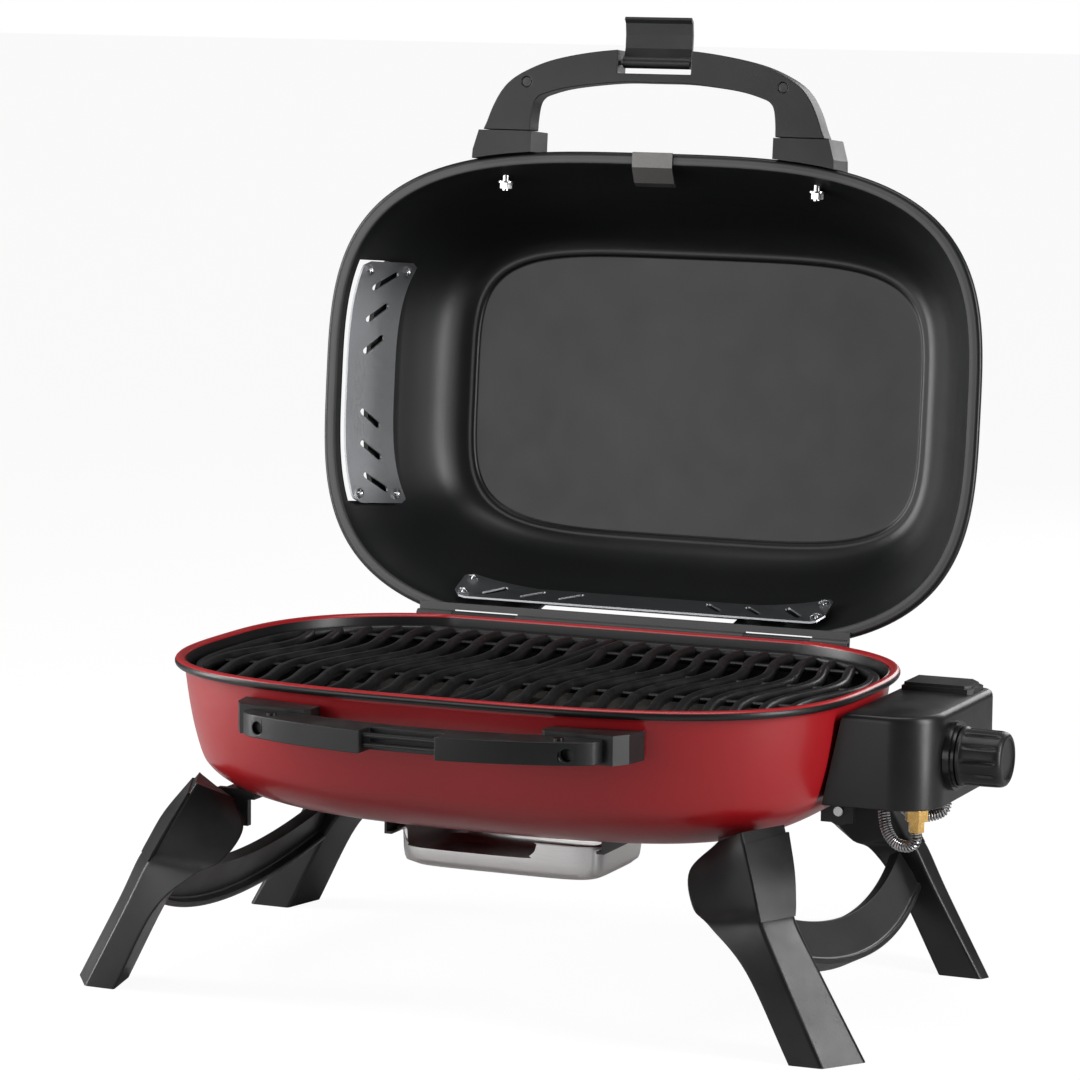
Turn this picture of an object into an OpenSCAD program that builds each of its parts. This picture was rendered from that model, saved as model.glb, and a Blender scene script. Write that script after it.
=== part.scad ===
// Portable table-top gas grill: oval cookbox on two folding leg frames, with a
// hinged lid, a side control box, a drip tray and two lift-out cooking grids.
// Stored with the lid open. Origin on the ground below the middle; +X right, +Y back, +Z up.

/* [Cookbox] */
// Half width of the cookbox at its rolled rim
rim_x = 290; // [285:1:295]
// Half depth of the cookbox at its rolled rim
rim_y = 205.5; // [203:0.5:208]
// Height of the rim above the ground
rim_z = 265; // [264:0.5:266]
// Squareness of the cookbox outline, 2 is an ellipse
box_power = 2.94; // [2.8:0.02:3.1]
// Where the outline is cut flat at the back
rim_back = 185; // [184:0.5:186]
// Sheet thickness of the cookbox and lid
wall = 3; // [2.5:0.5:3.5]

/* [Lid] */
// Half width of the lid at its flange
lid_x = 300.5; // [298:0.5:302]
// Half depth of the lid at its flange
lid_y = 208.5; // [207:0.5:211]
// Squareness of the lid outline
lid_power = 3.3; // [3.2:0.05:3.4]
// Opening angle of the lid at rest
lid_open = 95.1; // [90:0.1:98]
// Width of the bare flange round the lid
flange_w = 10.5; // [9:0.5:11]

/* [Legs] */
// Splay of the lower legs from the vertical
leg_splay = 27; // [26:0.5:28]
// Half distance between the two fold axes
leg_pivot_x = 222; // [220:1:224]
// Height of the fold axes
leg_pivot_z = 138; // [137:0.5:139]
// Forward offset of the left frame and backward offset of the right one
leg_stagger = 4; // [3:1:6]

/* [Control box] */
// Outer face of the control box
box_x = 357; // [352:1:360]
// Knob radius
knob_r = 22.5; // [20:0.5:25]
// Knob length
knob_l = 36.5; // [30:1:45]

/* [Drip tray] */
// Half width of the tray over its rim
tray_x = 92; // [88:0.5:92]
// Half length of the tray over its rim
tray_y = 60; // [56:1:60]
// Depth of the tray
tray_h = 32; // [28:1:34]

/* [Cooking grid] */
// Spacing of the wavy bars
bar_pitch = 22; // [20:1:26]
// Width of each bar
bar_w = 8; // [6:0.5:9]
// Side swing of the wave
bar_wave = 9; // [6:0.5:11]

/* [Hidden] */
$fn = 48;

// Middle of the whole object seen from above, moved to the origin
mid_x = 31.5;
mid_y = 45;

// Fine clearance between faces of moving neighbours
gap = 0.5;
ring_n = 96;

// Lid hinge axis
hinge_y = 197;
hinge_z = rim_z - 3.6;
hinge_r = 4.5;
pin_r = 2.5;

// Lid flange and rows of [inset from the flange edge, height] up the lid
flange_z = rim_z + 2;
lid_back = 192;
lid_outer = [[93, rim_z + 128], [89, rim_z + 126], [82, rim_z + 124.5], [72, rim_z + 119],
    [60, rim_z + 106], [49, rim_z + 88], [38, rim_z + 67], [22, rim_z + 33], [8, rim_z + 8],
    [3, rim_z + 7.4], [0.6, rim_z + 6.4], [0, rim_z + 4.6], [0.8, rim_z + 2.8],
    [2.5, rim_z + 2]];
lid_inner = [[flange_w, flange_z], [26, rim_z + 33], [41, rim_z + 67], [52, rim_z + 87],
    [63, rim_z + 104], [75, rim_z + 116], [84, rim_z + 121.5], [90, rim_z + 122.5],
    [93, rim_z + 125]];

// Where the lid's outline is cut flat at the back, and what its half depth gains, by inset
lid_rear = [[0, 192], [10, 188], [41, 171], [89, 126], [93, 122]];
lid_gain = [[0, 0], [41, 2.5], [89, 5], [93, 5]];

// How much squarer the lid's outline becomes towards its panel, by inset
lid_square = [[0, 0], [41, 0.1], [60, 0.5], [89, 1.3], [93, 1.3]];

// Rows of [inset from the rim edge, height] up the cookbox and down inside it
box_floor_z = 139;
box_lean = 0.3;
box_outer = [[120, box_floor_z], [100, 141], [80, 145.5], [62, 151.5], [46, 159], [34, 167],
    [26, 175], [21, 184], [15, 207], [11, 230], [8, 254], [4, 256.5], [0.8, 258.5], [0, 261],
    [1.2, 263.8], [4, rim_z]];
box_inner = [[7, 264], [9.5, 261], [11, 254], [14, 230], [18, 207], [24, 185.5], [29, 177],
    [37, 169.5], [49, 162], [64, 154.8], [81, 148.8], [100, 144], [120, box_floor_z + wall]];

// Control box and knob axis
box_front = -60;
box_rear = 108;
box_low = 178;
box_top = 252;
knob_y = -4;
knob_z = 215.5;
line_a = [327, 0];
line_b = [334, 52];

// Drip tray middle and top
tray_mid = -24;
tray_top = 133;

// Middle of each leg frame along Y
leg_mid = 5;
left_mid = leg_mid - leg_stagger;
right_mid = leg_mid + leg_stagger;
leg_pin_r = 4;

// Handle sizes
grip_low = 228;
grip_h = 18;
arch_low = rim_z - 5.5;
arch_h = 19;
latch_y = -285;
latch_z = rim_z + 3;

// Gas line centre lines, from the valve nut round to the burner inlet
route_a = [[327, 0, 151], [327, 0, 146], [325, 0, 141.5], [319, 0.5, 138.5], [311, 1.5, 139.5],
    [305, 3, 144], [300.5, 5, 151], [298, 7, 159], [296.5, 9.5, 167], [296.5, 12, 176],
    [297, 13.5, 185], [297, 14, 192], [295.5, 14, 197], [291, 14, 200], [286, 14, 200]];
route_b = [[334, 52, 170], [334, 52, 165], [333, 50, 160.5], [329, 45.5, 157.5], [322, 41, 156],
    [314, 38, 156.5], [307, 37, 159.5], [302, 37.5, 164], [299, 39, 170.5], [298, 41, 178],
    [298, 43, 186], [297.5, 44, 192], [295.5, 44, 197], [291, 44, 200], [286, 44, 200]];

// ---------------------------------------------------------------- functions

function signed_pow(v, p) = sign(v) * pow(abs(v), p);

// Rounded outline of half sizes a and b, cut flat at the back
function outline(a, b, n, back, count = ring_n) =
    [for (i = [0:count - 1]) let (t = 360 * i / count)
        [a * signed_pow(cos(t), 2 / n), min(back, b * signed_pow(sin(t), 2 / n))]];

// Half width of such an outline at a distance y from its middle
function half_width(a, b, n, y) = a * pow(max(0, 1 - pow(abs(y) / b, n)), 1 / n);

function ring(a, b, n, back, row, count) =
    [for (p = outline(a, b, n, back, count)) [p[0], p[1], row[1]]];

// Inset of the lid's inner face at a height
function lid_inset(z) = lookup(z, [for (r = lid_inner) [r[1], r[0]]]);

// Evenly spaced points on an arc through two end points and a bulge
function arc_points(half, y0, bulge, count = 16) =
    let (r = (half * half + bulge * bulge) / (2 * bulge), a = asin(half / r))
    [for (i = [0:count]) let (t = -a + 2 * a * i / count)
        [r * sin(t), y0 + r * (cos(a) - cos(t))]];

// ------------------------------------------------------------------ helpers

// Solid through a list of rings, closed by flat ends; flip turns it inside out
module ring_solid(rings, flip = false) {
    count = len(rings[0]);
    points = [for (r = rings) each r];
    sides = [for (r = [0:len(rings) - 2], i = [0:count - 1])
        let (j = (i + 1) % count, a = r * count + i, b = r * count + j)
        each [[a, a + count, b], [b, a + count, b + count]]];
    ends = [[for (i = [0:count - 1]) i],
        [for (i = [count - 1:-1:0]) (len(rings) - 1) * count + i]];
    faces = concat(ends, sides);
    polyhedron(points, flip ? [for (f = faces) [for (k = [len(f) - 1:-1:0]) f[k]]] : faces);
}

// Dished body whose rings are inset from one outline
module dish(a, b, n, back, lean, rows, count = ring_n, flip = false)
    ring_solid([for (row = rows)
        ring(a - row[0], b - row[0], n, back - lean * row[0], row, count)], flip);

// The same for the lid, whose back and depth follow their own tables
module lid_dish(rows, flip = true, off = 0)
    ring_solid([for (row = rows) ring(lid_x + off - row[0],
        lid_y + off - row[0] + lookup(row[0], lid_gain), lid_power + lookup(row[0], lid_square),
        off + lookup(row[0], lid_rear), row, ring_n)], flip);

// Round tube swept along a list of points
module swept_tube(path, r, sides = 10) {
    last = len(path) - 1;
    rings = [for (i = [0:last])
        let (d = path[min(last, i + 1)] - path[max(0, i - 1)], t = d / norm(d),
            s = cross(t, [0, 1, 0.2]), u = s / norm(s), v = cross(u, t))
        [for (k = [0:sides - 1])
            path[i] + r * (cos(360 * k / sides) * u + sin(360 * k / sides) * v)]];
    ring_solid(rings, true);
}

// Moves from the grill's own frame, centred on the cookbox, to the part's origin
module placed() translate([-mid_x, -mid_y, 0]) children();

// Turns a piece drawn with the lid shut to the open rest position
module on_open_lid()
    placed() translate([0, hinge_y, hinge_z]) rotate([-lid_open, 0, 0])
        translate([0, -hinge_y, -hinge_z]) children();

module both_sides() for (s = [0, 1]) mirror([s, 0, 0]) children();

module along_x(r, x0, x1, y = 0, z = 0)
    translate([x0, y, z]) rotate([0, 90, 0]) cylinder(r = r, h = x1 - x0);

module along_y(r, y0, y1, x = 0, z = 0)
    translate([x, y1, z]) rotate([90, 0, 0]) cylinder(r = r, h = y1 - y0);

module block(x0, x1, y0, y1, z0, z1)
    translate([x0, y0, z0]) cube([x1 - x0, y1 - y0, z1 - z0]);

// ------------------------------------------------------------------ cookbox

module cookbox() color("crimson") placed() difference() {
    dish(rim_x, rim_y, box_power, rim_back, box_lean, concat(box_outer, box_inner));
    // Drain over the tray and the two burner inlets
    block(-55, 55, tray_mid - 28, tray_mid + 28, box_floor_z - 10, box_floor_z + 10);
    for (y = [route_a[14][1], route_b[14][1]]) along_x(8, 255, 300, y, 200);
}

module grid_rests() color("#1c1c1c") placed() both_sides() intersection() {
    dish(rim_x - 0.1, rim_y - 0.1, box_power, rim_back - 0.1, box_lean, [[14, 230], [11, 254]]);
    union() {
        block(267, 282, -40, -10, 238, 247.5);
        for (y = [-196, 165]) block(90, 120, y, y + 18, 238, 247.5);
    }
}

// -------------------------------------------------------------------- hinge

module barrel(x0, x1) difference() {
    along_x(hinge_r, x0, x1, hinge_y, hinge_z);
    along_x(pin_r + 0.05, x0 - 1, x1 + 1, hinge_y, hinge_z);
}

module hinge_leaf_base() color("#2b2b2b") placed() both_sides() {
    barrel(105.5, 164.5);
    difference() {
        union() {
            block(105.5, 164.5, 186, 188.5, 236, hinge_z + 1);
            block(105.5, 164.5, 188, hinge_y, hinge_z - 4, hinge_z - 1);
            block(112, 158, 182.7, 186, 238, 250);
        }
        along_x(hinge_r - 0.5, 100, 170, hinge_y, hinge_z);
    }
}

module hinge_rod() color("silver") placed() along_x(pin_r, -196, 196, hinge_y, hinge_z);

module hinge_leaf_lid() color("#565454") on_open_lid() {
    barrel(-105, 105);
    both_sides() barrel(165, 198);
    difference() {
        block(-198, 198, 186, hinge_y, flange_z - 3, flange_z - 1);
        along_x(hinge_r - 0.5, -200, 200, hinge_y, hinge_z);
        both_sides() block(105, 165, hinge_y - hinge_r - 0.8, 210, 200, 300);
    }
}

// ------------------------------------------------------------- front handle

module base_grip() color("#2e2e2e") placed() difference() {
    translate([0, 0, grip_low]) linear_extrude(grip_h)
        polygon(concat(arc_points(138, -240, 27.5), [[150, -218.5], [112, -218.5]],
            [for (p = arc_points(104, -219, 13)) [-p[0], p[1]]],
            [[-112, -218.5], [-150, -218.5]]));
    block(-31.5, 31.5, -280, -247, grip_low - 1, grip_low + grip_h + 1);
    both_sides() along_y(5, -262, -236, 130, grip_low + 8);
}

module base_shoes() color("#262626") placed() both_sides() difference() {
    translate([0, 0, grip_low - 2]) linear_extrude(23)
        polygon([[98, -198], [98, -214], [102, -218], [158, -218], [166, -205], [170, -184],
            [128, -193]]);
    wall_space(grip_low - 3, 254.5);
    dish(rim_x + 0.3, rim_y + 0.3, box_power, rim_back, box_lean, [for (i = [10:13]) box_outer[i]]);
}

// Inset of the cookbox's outer face at a height
function box_inset(z) = lookup(z, [for (r = box_outer) if (r[0] >= 8) [r[1], r[0]]]);

// Solid that fills the cookbox's outer face between two heights
module wall_space(z0, z1, off = 0.1)
    dish(rim_x + off, rim_y + off, box_power, rim_back, box_lean, concat([[box_inset(z0), z0]],
        [for (r = box_outer) if (r[0] >= 8 && r[1] > z0 && r[1] < z1) r],
        [[box_inset(z1), z1]]));

module base_rods() color("#3a3a3a") placed()
    for (z = [grip_low + 6.5, grip_low + 13.5]) along_x(2, -33, 33, -259, z);

module base_screws() color("silver") placed() both_sides() {
    translate([121, -236, grip_low + grip_h]) cylinder(r = 4, h = 2);
    translate([121, -236, grip_low + 4]) cylinder(r = 2, h = grip_h - 3);
}

// -------------------------------------------------------------- control box

module box_outline(inset) polygon([[250, box_front + inset],
    for (t = [-90:10:0]) [box_x - 36 + (36 - inset) * cos(t), box_front + 36
        + (36 - inset) * sin(t)],
    [box_x - inset, box_rear - 14], [box_x - 12 - inset, box_rear - inset],
    [250, box_rear - inset]]);

// Box section that leans with the cookbox wall on its inner side
module box_form(inset, z0, z1) intersection() {
    translate([0, 0, z0]) linear_extrude(z1 - z0) box_outline(inset);
    translate([0, 200, 0]) rotate([90, 0, 0]) linear_extrude(400)
        polygon([[268 + inset, box_low - 4], [288 + inset, 266], [400, 266], [400, box_low - 4]]);
}

module control_box() color("#232426") placed() difference() {
    union() {
        box_form(0, box_low, box_top - 4);
        box_form(3, box_top - 6, box_top);
    }
    box_form(3, box_low - 1, box_top - 6);
    along_x(12, box_x - 10, box_x + 5, knob_y, knob_z);
    for (y = [route_a[14][1], route_b[14][1]]) along_x(8, 262, 290, y, 200);
}

module box_cap() color("#3a3b3d") placed() {
    translate([0, 0, box_top]) linear_extrude(4) polygon([[291, 63], [346, 63], [350, 67],
        [350, box_rear - 16], [340, box_rear - 4], [291, box_rear - 4]]);
    translate([0, 0, box_top + 4]) linear_extrude(2.5) polygon([[292.5, 65], [343, 65],
        [347, 69], [347, box_rear - 18], [338, box_rear - 6], [292.5, box_rear - 6]]);
}

module box_bracket() color("#1d1e1f") placed() for (y = [-30, 62])
    difference() {
        block(240, 277.2, y, y + 16, 217, 220);
        wall_space(210, 230, 0);
    }

module knob_bezel() color("#1b1b1b") placed() translate([box_x, knob_y, knob_z])
    rotate([0, 90, 0]) difference() {
        union() {
            cylinder(r = 27.5, h = 5);
            cylinder(r = 25, h = 8);
            translate([0, 0, -3]) cylinder(r = 11.8, h = 4);
        }
        translate([0, 0, -5]) cylinder(r = 7, h = 20);
    }

module control_knob() color("#1e1e1e") placed() translate([box_x + 8.6, knob_y, knob_z])
    rotate([0, 90, 0]) difference() {
        union() {
            cylinder(r = knob_r + 1, h = 3);
            cylinder(r = knob_r, h = knob_l - 3);
            translate([0, 0, knob_l - 3]) cylinder(r1 = knob_r, r2 = knob_r - 3, h = 3, $fn = 48);
        }
        translate([0, 0, -1]) cylinder(r = 4.03, h = 25.2);
        translate([0, 0, knob_l - 2]) cylinder(r = knob_r - 6, h = 3);
        for (k = [0:11]) rotate([0, 0, 30 * k]) translate([knob_r + 1.2, 0, 5])
            cylinder(r = 2, h = knob_l - 11);
    }

module valve_stem() color("silver") placed()
    along_x(4, box_x - 32, box_x + 8.6 + 24, knob_y, knob_z);

module valve_body() color("#b9bcc0") placed() difference() {
    union() {
        along_x(11, box_x - 34, box_x - 3, knob_y, knob_z);
        block(318, 342, -16, 62, 194, 206.5);
        block(322, 338, -12, 8, 200, 214);
    }
    along_x(4.05, box_x - 36, box_x, knob_y, knob_z);
}

module gas_nuts() color("#c9a24a") placed() {
    for (p = [[line_a, 151], [line_b, 170]]) translate([p[0][0], p[0][1], p[1]]) {
        cylinder(r = 6.5, h = 9, $fn = 6);
        translate([0, 0, 9]) cylinder(r = 9.5, h = 9, $fn = 6);
        translate([0, 0, 18]) cylinder(r = 5, h = 194 - 18 - p[1]);
    }
}

module gas_line_a() color("silver") placed() swept_tube(route_a, 5);

module gas_line_b() color("silver") placed() swept_tube(route_b, 5);

// ------------------------------------------------------------------ burners

module elbow(x, y, sx, sy) translate([x, y, 200]) mirror([sx, 0, 0]) mirror([0, sy, 0])
    rotate_extrude(angle = 90) translate([30, 0]) circle(r = 8);

module burner_outer() color("#a5a7a9") placed() difference() {
    union() {
        for (y = [-95, 95]) along_x(8, -160, 160, y, 200);
        for (x = [-190, 190]) along_y(8, -65, 65, x, 200);
        for (sx = [0, 1], sy = [0, 1])
            elbow(160 * (1 - 2 * sx), 65 * (1 - 2 * sy), sx, sy);
        along_x(7, 185, 286, route_a[14][1], 200);
    }
    along_x(5.05, 175, 205, route_b[14][1], 200);
}

module burner_inner() color("#a5a7a9") placed() {
    along_x(7, -120, 180, 44, 200);
    along_x(5, 180, 200, 44, 200);
    along_x(7, 200, 286, 44, 200);
    translate([-120, 44, 200]) sphere(r = 7);
}

module burner_posts() color("#7d7f82") placed() both_sides() for (y = [-95, 95])
    block(96, 104, y - 4, y + 4, 144.3, 191.9);

module sear_plates() color("#8d8f92") placed() for (y = [-95, 0, 95])
    translate([-185, y, 214]) rotate([90, 0, 90]) linear_extrude(370)
        polygon([[-26, 0], [-24, 0], [0, 16], [24, 0], [26, 0], [0, 18.5]]);

module igniters() color("white") placed() for (p = [[140, -70], [150, 66]]) {
    translate([p[0], p[1], 145]) cylinder(r = 3.5, h = 45);
    translate([p[0], p[1], 190]) cylinder(r = 1, h = 8);
}

// ---------------------------------------------------------------- leg frames

// Corners of the front right leg from the foot to the knuckle: front inner, front outer,
// outer rear, rear, rear inner, given from the middle of the frame
leg_rows = [
    [[288, -188, 0], [315.6, -187, 0], [339, -154, 0], [334, -144, 0], [298, -144, 0]],
    [[252, -187, 68], [280.5, -183, 68], [301, -156, 68], [295, -144, 68], [262, -144, 68]],
    [[219, -180, 99], [263.6, -181, 101], [282, -158, 104], [276, -144, 104], [238, -144, 99]],
    [[200, -168, 110], [257, -174, 115], [277, -146, 116], [270, -134, 116], [222, -138, 108]],
    [[190, -150, 134], [248, -165, 136], [270, -131, 138], [262, -121, 138], [207, -127, 133]],
    [[207, -134, 155], [233, -151, 168], [253, -106, 168], [249, -108, 165], [216, -127, 156]]];

module one_leg() ring_solid(leg_rows);

module brace() translate([287, 0, 47]) rotate([0, -leg_splay, 0]) rotate([90, 0, 90]) {
    translate([0, 0, -5]) linear_extrude(10) brace_band(400, 436);
    translate([0, 0, -13]) linear_extrude(20) brace_band(431, 436);
}

// Curved band, lowest in the middle
module brace_band(r_low, r_high) translate([0, 436]) intersection() {
    difference() {
        circle(r = 436, $fn = 120);
        circle(r = 436 - (r_high - r_low), $fn = 120);
    }
    translate([-150, -440]) square([300, 120]);
}

module leg_frame() difference() {
    union() {
        for (s = [0, 1]) mirror([0, s, 0]) one_leg();
        brace();
    }
    for (s = [-1, 1]) along_y(leg_pin_r + 0.05, s > 0 ? 100 : -156, s > 0 ? 156 : -100,
        leg_pivot_x, leg_pivot_z);
}

// Corners of the raised panel over the knuckle, along the front and the outer edge
cap_rows = [[[260.6, -179, 106], [279.5, -154, 108]], [[257, -175, 115], [277.2, -147, 117]],
    [[248, -165.5, 136], [270.2, -132, 138]], [[237, -154.5, 160], [256.5, -109, 163]]];

module leg_cap() ring_solid([for (r = cap_rows)
    [r[0] + [1, -1.2, 0.4], r[1] + [1.3, -0.8, 0.4], r[1] + [-2, 1, -0.4], r[0] + [-0.6, 2, -0.4]]]);

module right_leg_frame() color("#2c2d2f") placed() translate([0, right_mid, 0]) leg_frame();

module left_leg_frame() color("#2c2d2f") placed() translate([0, left_mid, 0])
    mirror([1, 0, 0]) leg_frame();

module caps() for (s = [0, 1]) mirror([0, s, 0]) leg_cap();

module right_leg_caps() color("#3b3c3e") placed() translate([0, right_mid, 0]) caps();

module left_leg_caps() color("#3b3c3e") placed() translate([0, left_mid, 0])
    mirror([1, 0, 0]) caps();

module at_leg_pivots() {
    for (s = [-1, 1], t = [-1, 1]) translate([s * leg_pivot_x, s > 0 ? right_mid : left_mid, 0])
        mirror([s > 0 ? 0 : 1, 0, 0]) mirror([0, t > 0 ? 1 : 0, 0]) children();
}

module leg_brackets() color("#1d1e1f") placed() difference() {
    at_leg_pivots() difference() {
        union() {
            block(-16, 12, -112, -106, leg_pivot_z - 10, 158);
            along_y(12, -112, -106, 0, leg_pivot_z);
            block(-22, 6, -112, -92, 150, 158);
        }
        along_y(leg_pin_r + 0.03, -125, -100, 0, leg_pivot_z);
    }
    // Space taken by the cookbox floor over the brackets
    dish(rim_x + 0.2, rim_y + 0.2, box_power, 300, 0, [for (i = [1:6]) box_outer[i]]);
}

module leg_pins() color("silver") placed() at_leg_pivots()
    along_y(leg_pin_r, -150, -103, 0, leg_pivot_z);

// ---------------------------------------------------------------- drip tray

module tray_rails() color("#1d1e1f") placed() both_sides() {
    block(94, 96, tray_mid - tray_y, tray_mid + tray_y, 127, box_floor_z);
    block(89.5, 96, tray_mid - tray_y, tray_mid + tray_y, 127, 129);
    block(94, 104, tray_mid - tray_y + 4, tray_mid + tray_y, box_floor_z - 2, box_floor_z);
}

module drip_tray() color("#c8cacc") placed() translate([0, tray_mid, 0]) difference() {
    dish(tray_x, tray_y, 9, 200, 0, [[13, tray_top - tray_h], [8.5, tray_top - tray_h + 1.5],
        [5.5, tray_top - tray_h + 6], [4.6, tray_top - 20], [4.2, tray_top - 2.6],
        [0, tray_top - 2.6], [0, tray_top - 1.2], [5.4, tray_top - 1.2], [5.8, tray_top - 20],
        [7, tray_top - tray_h + 7], [9.5, tray_top - tray_h + 3.4],
        [13.5, tray_top - tray_h + 1.4]], 60);
    // Finger scoop in the front wall
    translate([-84, -tray_y + 9, tray_top - 16]) rotate([90, 0, 0]) linear_extrude(12)
        polygon([[0, 20], [2, 8], [8, 2], [16, 0], [98, 0], [108, 3], [115, 9], [120, 20]]);
}

// ------------------------------------------------------------- cooking grids

grid_x = rim_x - 14.5;
grid_y = rim_y - 15;
grid_back = 172;
grid_low = 247.5;

module grid_outline(inset) polygon(outline(grid_x - inset, grid_y - inset, box_power,
    grid_back - inset, 64));

module wavy_bar(x) polygon(concat(
    [for (i = [-9:9]) [x - bar_w / 2 + bar_wave * sin(i * 20 * 2), i * 22]],
    [for (i = [9:-1:-9]) [x + bar_w / 2 + bar_wave * sin(i * 20 * 2), i * 22]]));

module grid_half(side) color("#202122") placed() {
    x0 = side > 0 ? 0.8 : -300;
    translate([0, 0, grid_low + 1]) linear_extrude(8) intersection() {
        translate([x0, -220]) square([299.2, 440]);
        union() {
            difference() { grid_outline(0); grid_outline(8); }
            translate([side > 0 ? 0 : -6, -grid_y + 2]) square([6, grid_back + grid_y - 4]);
            intersection() {
                grid_outline(4);
                for (k = [1:12]) wavy_bar(side * (k - 0.45) * bar_pitch);
            }
        }
    }
    translate([0, 0, grid_low]) linear_extrude(5) intersection() {
        translate([x0, -220]) square([299.2, 440]);
        grid_outline(3);
        for (y = [-135, -45, 45, 130]) translate([-300, y - 3]) square([600, 6]);
    }
}

module grid_left() grid_half(-1);

module grid_right() grid_half(1);

// ---------------------------------------------------------------------- lid

// Vent openings in the left and rear walls, just above the flange
module vent_cuts() {
    translate([-285, -2, rim_z + 20]) cube([60, 212, 28], center = true);
    translate([0, 185, rim_z + 16]) cube([176, 50, 20], center = true);
}

module lid_shell() color("crimson") on_open_lid() difference() {
    lid_dish(concat(lid_outer, lid_inner));
    vent_cuts();
}

module lid_rim_band() color("#6a6869") on_open_lid()
    translate([0, 0, flange_z - 1]) linear_extrude(1) difference() {
        polygon(outline(lid_x - 2.5, lid_y - 2.5, lid_power, lid_back - 1, ring_n));
        polygon(outline(lid_x - flange_w, lid_y - flange_w, lid_power,
            lookup(flange_w, lid_rear), ring_n));
    }

// Heights of the two long edges of a vent plate and its stand-off from the wall
plate_low = rim_z + 6.5;
plate_high = rim_z + 55;
plate_off = 5;
rear_high = rim_z + 38;

function side_plate_x(y, z, off) = half_width(lid_x - lid_inset(z) - off,
    lid_y - lid_inset(z) - off, lid_power, y);

function rear_plate_y(x, z, off) = min(lookup(lid_inset(z), lid_rear) - off,
    half_width(lid_y - lid_inset(z) - off, lid_x - lid_inset(z) - off, lid_power, x));

// Slots of a vent plate, leaning one way on the first half and the other way on the rest
module slots(first, last, step, lean) for (k = [0:2], s = [-1, 1])
    translate([s > 0 ? last - step * k : first + step * k, 0]) rotate(s * lean)
        square([5.5, 24], center = true);

module side_vent_plate() difference() {
    ring_solid([for (i = [0:14]) let (y = -107 + 15.2 * i) [
        [side_plate_x(y, plate_low, plate_off), y, plate_low],
        [side_plate_x(y, plate_high, plate_off), y, plate_high],
        [side_plate_x(y, plate_high, plate_off + 1.6), y, plate_high],
        [side_plate_x(y, plate_low, plate_off + 1.6), y, plate_low]]], true);
    translate([320, 0, (plate_low + plate_high) / 2]) rotate([90, 0, -90]) linear_extrude(90)
        mirror([1, 0]) slots(-90, 87, 28, 38);
}

module vent_plate_left() color("#9a9c9e") on_open_lid() mirror([1, 0, 0]) side_vent_plate();

module vent_plate_rear() color("#9a9c9e") on_open_lid() difference() {
    ring_solid([for (i = [0:18]) let (x = -171 + 19 * i) [
        [x, rear_plate_y(x, plate_low, plate_off), plate_low],
        [x, rear_plate_y(x, rear_high, plate_off), rear_high],
        [x, rear_plate_y(x, rear_high, plate_off + 1.6), rear_high],
        [x, rear_plate_y(x, plate_low, plate_off + 1.6), plate_low]]]);
    translate([0, 120, (plate_low + rear_high) / 2 + 2]) rotate([-90, 0, 0]) linear_extrude(90)
        slots(-138, 138, 36, 48);
}

module vent_screws() color("silver") on_open_lid() {
    mirror([1, 0, 0]) for (y = [-99, 97], z = [plate_low + 7, plate_high - 7])
        along_x(3, side_plate_x(y, z, plate_off) - 4, side_plate_x(y, z, 0) + 1, y, z);
    both_sides() for (z = [plate_low + 6, rear_high - 6])
        along_y(3, rear_plate_y(163, z, plate_off) - 4, rear_plate_y(163, z, 0) + 1, 163, z);
}

module rim_clip() color("#a8a6a4") on_open_lid() rotate([90, 0, 90]) translate([0, 0, -18.3])
    linear_extrude(36.6) polygon([[-209, flange_z - 1.9], [-196, flange_z - 1.9],
        [-183, flange_z + 5], [-180, flange_z + 9], [-181.2, flange_z + 9.6],
        [-184, flange_z + 6.2], [-196.4, flange_z - 1], [-209, flange_z - 1]]);

// --------------------------------------------------------------- lid handle

module lid_grip() color("#3b3b3b") on_open_lid() difference() {
    translate([0, 0, arch_low]) linear_extrude(arch_h) polygon(concat(
        arc_points(104, -282.5, 13.5), [[122, -274], [136, -264], [145, -251], [152, -236],
        [156, -224.5], [112, -224.5], [111.5, -236], [109.5, -248], [105, -253.5]],
        [for (p = arc_points(100, -255.5, 12)) [-p[0], p[1]]],
        [[-105, -253.5], [-109.5, -248], [-111.5, -236], [-112, -224.5], [-156, -224.5],
        [-152, -236], [-145, -251], [-136, -264], [-122, -274]]));
    block(-32.5, 32.5, -300, -276, arch_low - 1, arch_low + arch_h + 1);
    along_x(pin_r, -38, 38, latch_y, latch_z);
    both_sides() translate([117, -266, arch_low - 1]) cylinder(r = 4.5, h = 3);
}

module lid_shoes() color("#333435") on_open_lid() both_sides() difference() {
    translate([0, 0, arch_low]) linear_extrude(36) polygon([[110.5, -224], [160, -224],
        [165, -207], [166, -186], [110.5, -186]]);
    // Room for the flange and the wall behind it
    lid_dish([[0, 250], [0, rim_z + 8.2]], false, 0.2);
    lid_dish([[8, rim_z + 8], [22, rim_z + 33]], false, 0.2);
}

module lid_bolts() color("silver") on_open_lid() both_sides() {
    along_y(3, -214, -173, 143, rim_z + 19);
    along_y(7, -181, -179.5, 143, rim_z + 19);
    translate([143, -174.5, rim_z + 19]) rotate([90, 0, 0]) cylinder(r = 6, h = 5, $fn = 6);
}

module lid_screws() color("silver") on_open_lid() both_sides()
    translate([117, -266, arch_low + 0.6]) cylinder(r = 4, h = 1.4);

module latch_pin() color("silver") on_open_lid()
    along_x(pin_r, -37.5, 37.5, latch_y, latch_z);

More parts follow.
